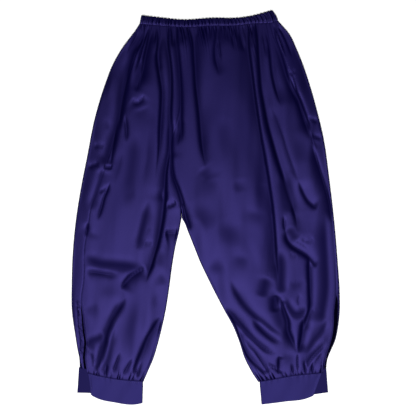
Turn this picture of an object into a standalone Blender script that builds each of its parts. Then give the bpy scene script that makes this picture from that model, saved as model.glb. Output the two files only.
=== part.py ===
"""Loose trousers with an elastic waistband and gathered ankle cuffs, laid flat on a surface.

Lengths are millimetres until a point is written to a mesh. "Across" is measured from the middle line,
positive to the right as seen from above. "Drop" is measured down the garment from the highest point of
the waistband. "Height" is measured up from the surface the garment lies on. Left and right are as seen
from above. The front panels are uppermost and the back panels lie on the surface.
"""

import math

import bmesh
import bpy
import numpy as np

MM = 0.001

# Driving sizes
LENGTH = 984.0
WALL = 1.1
CUFF_WALL = 2.0
BAND_WALL = 2.4
SEAM_GAP = 0.3
LAYER_GAP = 0.6
EDGE_ROUND = 3.0
CUFF_ROUND = 1.6
BAND_ROUND = 1.7
CROTCH_DROP = 519.0
CROTCH_ACROSS = -60.0
PINCH_LENGTH = 36.0

# Heights of the middle of each wall above the surface
FLOOR = WALL / 2
LOWEST = WALL + LAYER_GAP + WALL / 2
LOWEST_AT_CUFF = CUFF_WALL + LAYER_GAP + WALL / 2
EDGE_HEIGHT = 4.2
PUFF = 4.6
PUFF_START = -4.0
PUFF_REACH = 55.0
PUFF_AT_BAND = 0.9
# Folds fade out over this reach at the outline, from a little outside it at the cuff and waistband
FADE_REACH = 9.0
FADE_AT_CUFF = -2.0
FADE_AT_BAND = -6.0
# The front lifts over the cuff's back layer between these distances above the cuff
CUFF_LIFT_START = 70.0
CUFF_LIFT_END = 40.0
# How sharply the front turns level where it meets the back, a millimetre
TOUCH_SHARPNESS = 1.6
BAND_BACK = BAND_WALL / 2
BAND_FRONT = 4.6
CUFF_BACK = CUFF_WALL / 2
CUFF_FRONT = 4.2

# Gathers
BAND_RIPPLES = 36
BAND_RIPPLE_HEIGHT = 0.7
WAIST_GATHERS = 18
WAIST_GATHER_HEIGHT = 0.9
WAIST_GATHER_REACH = 34.0
CUFF_GATHERS = 12
CUFF_GATHER_HEIGHT = 1.0
CUFF_GATHER_REACH = 26.0
# Share of a panel's width over which its gathers die away at each side
GATHER_MARGIN = 0.03
# How the gathers are spaced unevenly: share of one gather, waves over the panel
GATHER_UNEVEN = ((0.18, 2.7), (0.10, 6.5))

# Columns and rows of the walls
FRONT_COLUMNS = 36
TOP_COLUMNS = 72
CURL_STEPS = 3
WRAP_COLUMNS = 4
BEND_STEPS = 6
FLOOR_COLUMNS = 5
BAND_FLOOR_COLUMNS = 20
BAND_BACK_COLUMNS = 24
RIPPLE_COLUMNS = 3
CUFF_COLUMNS = 10
TOP_ROWS = (0.0, 0.008, 0.02, 0.036, 0.056)
LOWER_ROWS = 21
SLIT_SHARE = 0.78

SATIN = (36, 28, 96)
SATIN_DARK = (28, 20, 82)
SATIN_CUFF = (52, 46, 124)
SATIN_ROUGHNESS = 0.42

# Outline of both legs: drop, across
LEFT_OUTER = (
    (20, -163.5), (32, -165.5), (48, -175), (68, -190), (88, -205), (128, -229), (188, -253), (268, -277),
    (368, -297), (428, -309), (528, -325), (588, -331), (688, -335), (748, -334.5), (808, -326.5),
    (848, -320), (868, -316), (900, -315), (940, -317),
)
RIGHT_OUTER = (
    (16, 174), (24, 180), (38, 192), (54, 206), (68, 215), (88, 224), (148, 248), (188, 261), (268, 283),
    (308, 292.5), (428, 310), (528, 321.5), (628, 330), (708, 335), (748, 335), (788, 331), (828, 322),
    (848, 313), (868, 305), (900, 301), (940, 303),
)
LEFT_INNER = (
    (519, -60.2), (528, -62), (548, -65.5), (588, -75), (628, -82), (708, -93), (748, -99.5), (788, -108),
    (828, -118), (868, -130), (908, -147), (930, -156), (970, -157),
)
RIGHT_INNER = (
    (519, -59.8), (528, -54), (548, -46), (588, -30), (628, -14), (668, 5), (708, 25), (748, 46), (788, 68),
    (828, 84), (868, 97), (908, 118), (930, 132), (970, 138),
)
# Centre front seam, from the waistband to the crotch: drop, across
CENTRE_FRONT = (
    (30, -79), (84, -69), (134, -65), (204, -62), (246, -64), (290, -75), (330, -86), (374, -86), (406, -82),
    (444, -71), (486, -61), (519, -60),
)
# Side seams lie on the front, in from the outline, and end in an opening above each cuff: drop, across
LEFT_SEAM = (
    (20, -157), (40, -161), (86, -168), (139, -184), (194, -202), (241, -212), (274, -219), (349, -237),
    (394, -252), (454, -272), (491, -286), (549, -295), (579, -301), (674, -305), (724, -311), (761, -306.5),
    (794, -303), (829, -298), (869, -301), (894, -297), (930, -293),
)
RIGHT_SEAM = (
    (20, 158), (40, 164), (86, 178), (151, 201), (179, 208), (216, 221), (256, 240), (294, 256), (361, 275),
    (421, 291), (469, 305), (524, 315), (604, 323), (660, 324.5), (700, 325.5), (753, 320), (785, 316), (810, 312),
    (836, 305), (858, 297), (881, 292), (930, 288),
)
# How wide each opening gapes: drop, width
LEFT_OPENING = ((724, 1), (761, 3), (829, 5), (869, 5), (930, 9))
RIGHT_OPENING = ((702, 3), (753, 9), (785, 9), (836, 7), (881, 4.5), (930, 8))
OPENING_START = 25.0
# The waistband's ends
BAND_LEFT = -164.2
BAND_TOP_RIGHT = 169.5
BAND_BOTTOM_RIGHT = 173.6
# Edges that run across the garment: across, drop
BAND_TOP = ((-163, 11.5), (-110, 18), (-57, 23), (16, 18.5), (83, 18), (116, 13), (150, 4), (163, 0.3), (174, 2))
BAND_BOTTOM = (
    (-330, 33), (-163, 33), (-110, 37.5), (-49, 41), (16, 37.5), (73, 37), (120, 31), (168, 27.5), (200, 26),
)
LEFT_GATHER = ((-340, 898), (-293, 906), (-277, 910), (-226, 920), (-156, 926), (-60, 928))
LEFT_BACK_GATHER = ((-340, 886), (-317, 891), (-155, 926), (-60, 928))
RIGHT_GATHER = ((-60, 928), (137, 926), (226, 911), (288, 905), (330, 898))
RIGHT_BACK_GATHER = ((-60, 928), (137, 926), (301, 893), (330, 887))

# Cuffs: the front layer's free end, the back layer's free end, and the bottom edges.
# Free ends are drop, across. Bottom edges are across, drop.
CUFFS = {
    "cuff_left": {
        "side": -1,
        "front_end": ((890, -296), (918, -291), (958, -286.5)),
        "back_end": ((880, -316.5), (926, -319), (955, -321)),
        "inner_end": ((920, -155.2), (985, -157.2)),
        "front_top": LEFT_GATHER,
        "back_top": LEFT_BACK_GATHER,
        "front_bottom": ((-290, 955), (-284, 961), (-274, 966.5), (-226, 978.5), (-176, 983.5), (-155, 979.5)),
        "back_bottom": ((-322, 954.5), (-286, 955.5), (-155, 979)),
    },
    "cuff_right": {
        "side": 1,
        "front_end": ((890, 289), (905, 288), (930, 280), (966, 267)),
        "back_end": ((880, 300.5), (955, 306)),
        "inner_end": ((920, 133), (985, 138.8)),
        "front_top": RIGHT_GATHER,
        "back_top": RIGHT_BACK_GATHER,
        "front_bottom": ((137, 983.7), (196, 976.5), (256, 967), (272, 960)),
        "back_bottom": ((137, 983), (262, 960), (308, 953.5)),
    },
}

# Folds of the front, a row for each: height in mm (valleys are below nought), width to the left of the
# line, width to its right, share of its length over which it rises, share over which it fades, then the
# line itself as across, drop
FOLDS = (
    (-5.0, 6, 9, 0.04, 0.25, ((-134, 40), (-144, 101), (-153, 130), (-170, 185))),
    (-4.5, 6, 5, 0.04, 0.45, ((-117, 38), (-119, 88), (-122, 134), (-113, 238), (-112, 361))),
    (-4.0, 5, 5, 0.04, 0.35, ((-88, 41), (-90, 94), (-87, 134), (-84, 190))),
    (-6.0, 6, 8, 0.03, 0.25, ((-77, 41), (-70, 116), (-62, 174), (-64, 231), (-72, 276), (-86, 318))),
    (-3.5, 6, 6, 0.2, 0.3, ((-62, 215), (-66, 266), (-69, 340))),
    (-5.0, 8, 10, 0.03, 0.3, ((-48, 45), (-31, 84), (-27, 134), (-24, 204), (-17, 246), (-7, 321), (0, 424))),
    (-3.5, 7, 8, 0.05, 0.5, ((27, 42), (25, 104), (36, 150), (46, 200))),
    (3.2, 26, 6, 0.03, 0.15, ((90, 42), (104, 94), (110, 161), (117, 231), (135, 334), (157, 456), (169, 578),
                              (165, 651), (164, 735))),
    (-4.2, 4, 9, 0.03, 0.1, ((97, 42), (111, 94), (117, 161), (124, 231), (142, 334), (164, 456), (177, 578),
                             (172, 651), (171, 741))),
    (-6.0, 6, 9, 0.03, 0.2, ((131, 34), (135, 116), (137, 174), (143, 212), (152, 266), (163, 316), (177, 361),
                             (191, 398), (206, 444), (223, 486), (229, 530))),
    (-4.0, 5, 6, 0.04, 0.4, ((145, 32), (162, 104), (166, 146), (177, 200))),
    (-4.0, 5, 6, 0.05, 0.3, ((156, 46), (178, 94), (198, 151), (216, 220))),
    (-3.0, 12, 12, 0.3, 0.3, ((166, 278), (196, 334), (218, 398), (251, 464), (274, 492))),
    (3.0, 10, 10, 0.3, 0.3, ((-190, 222), (-171, 246), (-138, 214))),
    (-2.6, 9, 9, 0.3, 0.3, ((-196, 240), (-172, 268), (-130, 238))),
    (-3.0, 8, 8, 0.3, 0.3, ((-134, 278), (-142, 394), (-160, 480))),
    (-6.0, 8, 7, 0.2, 0.3, ((-82, 290), (-88, 330), (-97, 388), (-102, 441), (-104, 486), (-112, 538), (-124, 598),
                            (-144, 646), (-166, 684))),
    (-3.0, 10, 9, 0.3, 0.4, ((-123, 371), (-149, 504), (-169, 590))),
    (4.0, 4, 20, 0.2, 0.15, ((-82, 350), (-80, 406), (-69, 440), (-53, 488), (-40, 518), (-34, 560))),
    (-3.2, 11, 11, 0.3, 0.3, ((-64, 468), (-25, 508), (12, 546))),
    (3.0, 14, 14, 0.4, 0.4, ((-9, 447), (31, 444), (75, 500))),
    (-4.4, 7, 9, 0.2, 0.3, ((-293, 616), (-232, 631), (-150, 642))),
    (-3.4, 5, 6, 0.2, 0.3, ((-299, 654), (-252, 657), (-218, 661))),
    (3.0, 7, 7, 0.2, 0.3, ((-300, 636), (-250, 645), (-190, 650))),
    (-4.6, 6, 8, 0.2, 0.12, ((-198, 716), (-228, 754), (-240, 780), (-253, 831), (-270, 890))),
    (4.0, 6, 10, 0.2, 0.15, ((-196, 738), (-225, 784), (-238, 822), (-260, 884))),
    (-4.6, 8, 8, 0.3, 0.12, ((-112, 764), (-144, 816), (-169, 868), (-197, 908))),
    (-2.6, 9, 9, 0.4, 0.4, ((-174, 720), (-187, 786), (-189, 850))),
    (-5.0, 9, 8, 0.2, 0.3, ((201, 564), (220, 586), (243, 601), (262, 622), (283, 640))),
    (-5.5, 7, 9, 0.2, 0.15, ((262, 624), (261, 726), (249, 761), (241, 801), (231, 850))),
    (4.0, 9, 8, 0.3, 0.2, ((289, 640), (291, 700), (278, 750), (250, 830))),
    (-4.0, 8, 8, 0.3, 0.3, ((300, 520), (303, 594), (300, 690))),
    (-6.0, 6, 8, 0.15, 0.1, ((180, 716), (194, 740), (211, 774), (228, 862))),
    (-5.0, 8, 10, 0.3, 0.25, ((71, 688), (97, 741), (140, 786), (200, 814))),
    (4.0, 9, 9, 0.3, 0.3, ((132, 741), (160, 766), (190, 800))),
    (-4.0, 6, 6, 0.3, 0.12, ((83, 790), (110, 850), (136, 916))),
    (-4.0, 6, 6, 0.3, 0.12, ((111, 812), (140, 860), (168, 912))),
    (-3.6, 5, 5, 0.3, 0.12, ((181, 862), (182, 908))),
)
FOLD_STEPS = 40
# Rounds in which a row's across and drop settle on each other, and where they start at the cuffs
SETTLE_STEPS = 12
CUFF_MIDDLE_DROP = 940.0


def smooth(table, at):
    """Reads a curve drawn through a short table of stations."""
    stations = np.array([row[0] for row in table], float)
    values = np.array([row[1] for row in table], float)
    slopes = np.gradient(values, stations)
    at = np.clip(np.asarray(at, float), stations[0], stations[-1])
    cell = np.clip(np.searchsorted(stations, at, side="right") - 1, 0, len(stations) - 2)
    span = stations[cell + 1] - stations[cell]
    t = (at - stations[cell]) / span
    rise = 3 * t**2 - 2 * t**3
    start_pull = (t**3 - 2 * t**2 + t) * span * slopes[cell]
    end_pull = (t**3 - t**2) * span * slopes[cell + 1]
    return values[cell] * (1 - rise) + values[cell + 1] * rise + start_pull + end_pull


def ease(value, low, high):
    """0 at low, 1 at high, level at both ends."""
    t = np.clip((value - low) / (high - low), 0, 1)
    return t * t * (3 - 2 * t)


def blend(first, second, share):
    return first * (1 - share) + second * share


def fold_line(points):
    """The fold's line as many short steps, with the share of its length at each."""
    knots = np.array(points, float)
    count = np.arange(len(knots))
    at = np.linspace(0, len(knots) - 1, FOLD_STEPS)
    across = smooth(list(zip(count, knots[:, 0])), at)
    drop = smooth(list(zip(count, knots[:, 1])), at)
    return across, drop, at / at[-1]


def relief(across, drop):
    """Height of the folds at each place."""
    total = np.zeros_like(across)
    for height, wide_left, wide_right, rise, fade, points in FOLDS:
        line_across, line_drop, line_share = fold_line(points)
        nearest = np.full(across.shape, 1e9)
        beside = np.zeros_like(across)
        share = np.zeros_like(across)
        for k in range(FOLD_STEPS - 1):
            step_across = line_across[k + 1] - line_across[k]
            step_drop = line_drop[k + 1] - line_drop[k]
            step = math.hypot(step_across, step_drop)
            along = ((across - line_across[k]) * step_across + (drop - line_drop[k]) * step_drop) / step**2
            along = np.clip(along, 0, 1)
            off_across = across - line_across[k] - along * step_across
            off_drop = drop - line_drop[k] - along * step_drop
            distance = np.hypot(off_across, off_drop)
            closer = distance < nearest
            turn = off_across * step_drop - off_drop * step_across
            nearest = np.where(closer, distance, nearest)
            beside = np.where(closer, np.sign(turn), beside)
            share = np.where(closer, blend(line_share[k], line_share[k + 1], along), share)
        width = np.where(beside < 0, wide_left, wide_right)
        strength = ease(share, 0, rise) * (1 - ease(share, 1 - fade, 1))
        total += height * strength * np.exp(-(nearest / width) ** 2)
    return total


def edge_distance(across, drop):
    """How far a place lies inside the garment's outline."""
    inside = np.minimum(across - smooth(LEFT_OUTER, drop), smooth(RIGHT_OUTER, drop) - across)
    left_leg = smooth(LEFT_INNER, drop) - across
    right_leg = across - smooth(RIGHT_INNER, drop)
    leg = np.maximum(left_leg, right_leg)
    below = np.maximum(CROTCH_DROP - drop, 0)
    leg = np.where(drop > CROTCH_DROP, leg, np.hypot(below, across - CROTCH_ACROSS))
    return np.maximum(np.minimum(inside, leg), 0)


def top_height(across, drop, band_distance, cuff_distance, pleats=0.0):
    """Height of the front's wall: low at its borders, lofted between, with the folds and pleats in it."""
    distance = edge_distance(across, drop)
    border = np.minimum(band_distance, cuff_distance)
    loft = PUFF * ease(np.minimum(distance, border * PUFF_AT_BAND), PUFF_START, PUFF_REACH)
    fade = ease(distance, 0, FADE_REACH)
    fade = fade * ease(cuff_distance, FADE_AT_CUFF, FADE_REACH) * ease(band_distance, FADE_AT_BAND, FADE_REACH)
    height = EDGE_HEIGHT + loft + relief(across, drop) * fade + pleats
    lowest = blend(LOWEST, LOWEST_AT_CUFF, ease(cuff_distance, CUFF_LIFT_START, CUFF_LIFT_END))
    return lowest + np.logaddexp(0, (height - lowest) * TOUCH_SHARPNESS) / TOUCH_SHARPNESS


class Leg:
    """One half of the trousers. side is -1 for the left and 1 for the right."""

    def __init__(self, side, outer, inner, seam, opening, gather, back_gather):
        self.side = side
        self.outer = outer
        self.inner = inner
        self.seam = seam
        self.opening = opening
        self.gather = gather
        self.back_gather = back_gather

    def row_drop(self, across, v, behind):
        """Drop of row v: 0 runs along the waistband and 1 along the cuff."""
        top = smooth(BAND_BOTTOM, across) + SEAM_GAP
        bottom = smooth(self.gather, across) - SEAM_GAP
        if behind:
            lower = smooth(self.back_gather, across) - SEAM_GAP
            bottom = blend(bottom, lower, ease(v, SLIT_SHARE, 1))
        return blend(top, bottom, v)

    def meet(self, table, v, behind):
        """Where row v meets a long edge."""
        across = np.full_like(v, table[len(table) // 2][1])
        for _ in range(SETTLE_STEPS):
            across = smooth(table, self.row_drop(across, v, behind))
        return across

    def curl(self, v, behind):
        """How far the inner edge has turned under: 0 on the centre seam, 1 from the crotch down."""
        drop = self.row_drop(np.full_like(v, CROTCH_ACROSS), v, behind)
        return ease(drop, CROTCH_DROP - PINCH_LENGTH, CROTCH_DROP)

    def inner_line(self, v, behind):
        """Middle of the wall's edge: along the centre seam, then the leg's inner outline."""
        seam = self.meet(CENTRE_FRONT, v, behind)
        leg = self.meet(self.inner, v, behind)
        drop = self.row_drop(seam, v, behind)
        line = np.where(drop < CROTCH_DROP, seam, leg)
        return line + self.side * blend(SEAM_GAP / 2, WALL / 2, self.curl(v, behind))

    def distances(self, across, drop):
        band = drop - smooth(BAND_BOTTOM, across)
        cuff = smooth(self.gather, across) - drop
        return band, cuff

    def height(self, across, drop, pleats=0.0):
        band, cuff = self.distances(across, drop)
        return top_height(across, drop, band, cuff, pleats)

    def front(self, u, v):
        """Front panel: u is 0 at the side seam, 1 where the inner edge starts to turn, 2 at its end."""
        seam = self.meet(self.seam, v, False) - self.side * SEAM_GAP / 2
        edge = self.inner_line(v, False)
        curl = self.curl(v, False)
        flat = np.clip(u, 0, 1)
        turn = np.clip(u - 1, 0, 1)
        angle = turn * math.pi / 2
        inset = blend(1 - turn, 1 - np.sin(angle), curl)
        across = blend(seam, edge + self.side * EDGE_ROUND * inset, flat)
        drop = self.row_drop(across, v, False)
        top = self.height(across, drop, self.gathers(flat, across, drop))
        middle = (self.edge_top(edge, v, False) + FLOOR) / 2 + SEAM_GAP / 2
        height = top - curl * (top - middle) * (1 - np.cos(angle))
        return across, drop, height

    def edge_top(self, edge, v, behind):
        drop = self.row_drop(edge, v, behind)
        return self.height(edge, drop)

    def gathers(self, u, across, drop):
        """Small pleats that start at the waistband and at the cuff."""
        band, cuff = self.distances(across, drop)
        inside = ease(u, 0, GATHER_MARGIN) * (1 - ease(u, 1 - GATHER_MARGIN, 1))
        uneven = sum(shift * np.sin(2 * math.pi * waves * u + self.side) for shift, waves in GATHER_UNEVEN)
        waist = np.sin(2 * math.pi * (WAIST_GATHERS * u + uneven)) * np.exp(-((band / WAIST_GATHER_REACH) ** 2))
        at_cuff = np.sin(2 * math.pi * (CUFF_GATHERS * u + uneven)) * np.exp(-((cuff / CUFF_GATHER_REACH) ** 2))
        return inside * (waist * WAIST_GATHER_HEIGHT + at_cuff * CUFF_GATHER_HEIGHT)

    def back(self, u, v):
        """Back panel: from the side seam (0) to the outer edge (1), round it (2), across the surface (3)
        and up into the inner edge (4)."""
        seam = self.meet(self.seam, v, True)
        seam_drop = self.row_drop(seam, v, True)
        start = self.opening[0][0]
        gape = smooth(self.opening, seam_drop) * ease(seam_drop, start, start + OPENING_START)
        seam = seam + self.side * (SEAM_GAP / 2 + gape)
        outer = self.meet(self.outer, v, True) - self.side * WALL / 2
        edge = self.inner_line(v, True)
        curl = self.curl(v, True)
        bend_start = outer - self.side * EDGE_ROUND
        on_top = blend(seam, bend_start, np.clip(u, 0, 1))
        angle = np.clip(u - 1, 0, 1) * math.pi
        around = bend_start + self.side * EDGE_ROUND * np.sin(angle)
        turn = np.clip(u - 3, 0, 1)
        inset = blend(1 - turn, 1 - np.sin(turn * math.pi / 2), curl)
        below = blend(bend_start, edge + self.side * EDGE_ROUND * inset, np.clip(u - 2, 0, 1))
        across = np.where(u <= 1, on_top, np.where(u <= 2, around, below))
        drop = self.row_drop(across, v, True)
        drop_at_bend = self.row_drop(bend_start, v, True)
        top = self.height(np.where(u <= 1, across, bend_start), np.where(u <= 1, drop, drop_at_bend))
        half = (top - FLOOR) / 2
        middle = (self.edge_top(edge, v, True) + FLOOR) / 2 - SEAM_GAP / 2
        rising = FLOOR + curl * (middle - FLOOR) * (1 - np.cos(turn * math.pi / 2))
        height = np.where(u <= 2, FLOOR + half * (1 + np.cos(angle)), rising)
        return across, drop, height


LEFT_LEG = Leg(-1, LEFT_OUTER, LEFT_INNER, LEFT_SEAM, LEFT_OPENING, LEFT_GATHER, LEFT_BACK_GATHER)
RIGHT_LEG = Leg(1, RIGHT_OUTER, RIGHT_INNER, RIGHT_SEAM, RIGHT_OPENING, RIGHT_GATHER, RIGHT_BACK_GATHER)


def cuff_surface(sizes):
    """A strip folded round the ankle: front layer (0 to 1), inner bend (2), back layer (3)."""
    side = sizes["side"]

    def edges(u, v, end, top, bottom):
        drop = np.full_like(v, CUFF_MIDDLE_DROP)
        for _ in range(SETTLE_STEPS):
            inner = smooth(sizes["inner_end"], drop) + side * (CUFF_WALL / 2 + CUFF_ROUND)
            across = blend(smooth(end, drop), inner, u)
            drop = blend(smooth(top, across) + SEAM_GAP, smooth(bottom, across), v)
        return across, drop

    def surface(u, v):
        front_across, front_drop = edges(np.clip(u, 0, 1), v, sizes["front_end"], sizes["front_top"],
                                         sizes["front_bottom"])
        back_across, back_drop = edges(1 - np.clip(u - 2, 0, 1), v, sizes["back_end"], sizes["back_top"],
                                       sizes["back_bottom"])
        turn = np.clip(u - 1, 0, 1)
        angle = turn * math.pi
        round_across = blend(front_across, back_across, turn) - side * CUFF_ROUND * np.sin(angle)
        across = np.where(u <= 1, front_across, np.where(u <= 2, round_across, back_across))
        drop = np.where(u <= 1, front_drop, np.where(u <= 2, blend(front_drop, back_drop, turn), back_drop))
        height = CUFF_BACK + (CUFF_FRONT - CUFF_BACK) * (1 + np.cos(angle)) / 2
        return across, drop, height

    return surface


def band_surface(u, v):
    """Waistband casing: front from left to right (0 to 1), right bend (2), back (3), left bend (4)."""
    left_end = BAND_LEFT + BAND_WALL / 2 + BAND_ROUND
    right_end = blend(BAND_TOP_RIGHT, BAND_BOTTOM_RIGHT, v) - BAND_WALL / 2 - BAND_ROUND
    front = np.clip(u, 0, 1)
    back = 1 - np.clip(u - 2, 0, 1)
    right_turn = np.clip(u - 1, 0, 1) * math.pi
    left_turn = np.clip(u - 3, 0, 1) * math.pi
    across = np.where(u <= 1, blend(left_end, right_end, front), blend(left_end, right_end, back))
    across = np.where((u > 1) & (u <= 2), right_end + BAND_ROUND * np.sin(right_turn), across)
    across = np.where(u > 3, left_end - BAND_ROUND * np.sin(left_turn), across)
    drop = blend(smooth(BAND_TOP, across), smooth(BAND_BOTTOM, across), v)
    share = np.where(u <= 2, (1 + np.cos(right_turn)) / 2, (1 - np.cos(left_turn)) / 2)
    height = blend(BAND_BACK, BAND_FRONT, share)
    return across, drop, height


def band_ripple(u, v):
    """Shirring of the casing, raised on its outer face only and left off where it rests."""
    on_front = ease(u, 0, GATHER_MARGIN) * (1 - ease(u, 1 - GATHER_MARGIN, 1))
    uneven = sum(shift * np.sin(2 * math.pi * waves * u) for shift, waves in GATHER_UNEVEN)
    wave = 0.5 + 0.5 * np.sin(2 * math.pi * (BAND_RIPPLES * u + uneven))
    return BAND_RIPPLE_HEIGHT * on_front * wave


def no_ripple(u, v):
    return np.zeros_like(u)


def world(across, drop, height):
    return np.stack([across, LENGTH / 2 - drop, height], axis=-1) * MM


def surface_points(surface, u, v, u_span):
    """Points of a surface and the direction square to it at each."""
    nudge = 1e-3
    here = world(*surface(u, v))
    u_low = np.maximum(u - nudge, u_span[0])
    u_high = np.minimum(u + nudge, u_span[1])
    v_low = np.maximum(v - nudge, 0)
    v_high = np.minimum(v + nudge, 1)
    along = world(*surface(u_high, v)) - world(*surface(u_low, v))
    down = world(*surface(u, v_high)) - world(*surface(u, v_low))
    normal = np.cross(along, down)
    normal /= np.linalg.norm(normal, axis=-1, keepdims=True)
    return here, normal


def join_rows(first, first_u, second, second_u):
    """Faces between two rows of points that may have different numbers of points."""
    faces = []
    i = 0
    j = 0
    while i < len(first) - 1 or j < len(second) - 1:
        next_first = first_u[i + 1] if i < len(first) - 1 else math.inf
        next_second = second_u[j + 1] if j < len(second) - 1 else math.inf
        if abs(next_first - next_second) < 1e-6:
            faces.append((first[i], first[i + 1], second[j + 1], second[j]))
            i += 1
            j += 1
        elif next_first < next_second:
            faces.append((first[i], first[i + 1], second[j]))
            i += 1
        else:
            faces.append((first[i], second[j + 1], second[j]))
            j += 1
    return faces


def cloth_wall(name, surface, rows, thickness, colour, ring=False, ripple=no_ripple):
    """A closed wall of cloth on a surface. rows holds, for each row, its v and the u of its points."""
    mesh = bmesh.new()
    u_span = (rows[0][1][0], rows[0][1][-1])
    outer_rows = []
    inner_rows = []
    u = np.concatenate([np.array(u_values, float) for _, u_values in rows])
    v = np.concatenate([np.full(len(u_values), v_value) for v_value, u_values in rows])
    points, normals = surface_points(surface, u, v, u_span)
    if surface_faces_down(surface):
        normals = -normals
    outer = points + normals * (thickness / 2 + ripple(u, v))[:, None] * MM
    inner = points - normals * thickness / 2 * MM
    start = 0
    for _, u_values in rows:
        end = start + len(u_values)
        outer_ids = [mesh.verts.new(p) for p in outer[start:end]]
        inner_ids = [mesh.verts.new(p) for p in inner[start:end]]
        start = end
        if ring:
            outer_ids[-1] = outer_ids[0]
            inner_ids[-1] = inner_ids[0]
        outer_rows.append(outer_ids)
        inner_rows.append(inner_ids)
    for r in range(len(rows) - 1):
        for face in join_rows(outer_rows[r], rows[r][1], outer_rows[r + 1], rows[r + 1][1]):
            mesh.faces.new(face)
        for face in join_rows(inner_rows[r], rows[r][1], inner_rows[r + 1], rows[r + 1][1]):
            mesh.faces.new(face[::-1])
        if not ring:
            for end in (0, -1):
                rim = (outer_rows[r][end], outer_rows[r + 1][end], inner_rows[r + 1][end], inner_rows[r][end])
                mesh.faces.new(rim)
    for r in (0, -1):
        for k in range(len(rows[r][1]) - 1):
            mesh.faces.new((outer_rows[r][k], outer_rows[r][k + 1], inner_rows[r][k + 1], inner_rows[r][k]))
    loose = [vertex for vertex in mesh.verts if not vertex.link_faces]
    bmesh.ops.delete(mesh, geom=loose, context="VERTS")
    bmesh.ops.triangulate(mesh, faces=mesh.faces[:])
    bmesh.ops.recalc_face_normals(mesh, faces=mesh.faces[:])
    for face in mesh.faces:
        face.smooth = True
    data = bpy.data.meshes.new(name)
    mesh.to_mesh(data)
    mesh.free()
    data.materials.append(satin(name, colour))
    thing = bpy.data.objects.new(name, data)
    bpy.context.scene.collection.objects.link(thing)
    return thing


def surface_faces_down(surface):
    """True where the surface's own direction points down in the middle of its front."""
    middle = np.array([0.5])
    return surface_points(surface, middle, middle, (0, 1))[1][0][2] < 0


def linear(channel):
    """Colour channel from its 0 to 255 value to linear light."""
    share = channel / 255
    if share <= 0.04045:
        return share / 12.92
    return ((share + 0.055) / 1.055) ** 2.4


def satin(name, colour):
    material = bpy.data.materials.new(name + "_satin")
    material.use_nodes = True
    shader = material.node_tree.nodes["Principled BSDF"]
    shade = [linear(channel) for channel in colour]
    shader.inputs["Base Color"].default_value = (*shade, 1)
    shader.inputs["Roughness"].default_value = SATIN_ROUGHNESS
    shader.inputs["Metallic"].default_value = 0
    material.diffuse_color = (*shade, 1)
    return material


def spaced(start, end, count):
    """count steps from start to end, the start left out."""
    return [start + (end - start) * (k + 1) / count for k in range(count)]


def lower_rows():
    return spaced(TOP_ROWS[-1], 1, LOWER_ROWS)


def front_rows():
    """The pleats under the waistband need closer columns than the cloth below them."""
    curl = spaced(1, 2, CURL_STEPS)
    close = [0.0] + spaced(0, 1, TOP_COLUMNS) + curl
    wide = [0.0] + spaced(0, 1, FRONT_COLUMNS) + curl
    return [(v, close) for v in TOP_ROWS] + [(v, wide) for v in lower_rows()]


def back_rows():
    """The back's top row has closer columns, to follow the waistband's edge."""
    outside = [0.0] + spaced(0, 1, WRAP_COLUMNS) + spaced(1, 2, BEND_STEPS)
    curl = spaced(3, 4, CURL_STEPS)
    close = outside + spaced(2, 3, BAND_FLOOR_COLUMNS) + curl
    wide = outside + spaced(2, 3, FLOOR_COLUMNS) + curl
    return [(TOP_ROWS[0], close)] + [(v, wide) for v in list(TOP_ROWS[1:]) + lower_rows()]


def band_rows():
    columns = [0.0] + spaced(0, 1, BAND_RIPPLES * RIPPLE_COLUMNS) + spaced(1, 2, BEND_STEPS)
    columns += spaced(2, 3, BAND_BACK_COLUMNS) + spaced(3, 4, BEND_STEPS)
    return [(v, columns) for v in (0.0, 0.5, 1.0)]


def cuff_rows():
    columns = [0.0] + spaced(0, 1, CUFF_COLUMNS) + spaced(1, 2, BEND_STEPS) + spaced(2, 3, CUFF_COLUMNS)
    return [(v, columns) for v in (0.0, 0.25, 0.5, 0.75, 1.0)]


def main():
    for thing in list(bpy.data.objects):
        bpy.data.objects.remove(thing)
    cloth_wall("front_left", LEFT_LEG.front, front_rows(), WALL, SATIN)
    cloth_wall("front_right", RIGHT_LEG.front, front_rows(), WALL, SATIN)
    cloth_wall("back_left", LEFT_LEG.back, back_rows(), WALL, SATIN_DARK)
    cloth_wall("back_right", RIGHT_LEG.back, back_rows(), WALL, SATIN_DARK)
    cloth_wall("waistband", band_surface, band_rows(), BAND_WALL, SATIN_DARK, ring=True, ripple=band_ripple)
    for name, sizes in CUFFS.items():
        cloth_wall(name, cuff_surface(sizes), cuff_rows(), CUFF_WALL, SATIN_CUFF)


main()
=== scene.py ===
"""Looks of a pair of loose satin trousers laid flat: cloth, gathers, stitches, floor, light and camera.

Lengths in the tables are millimetres. "Across" is measured from the middle line, positive to the right as
seen from above. "Drop" is measured down the garment from the highest point of the waistband. "Height" is
measured up from the floor. Left and right are as seen from above.
"""

import math

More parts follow.
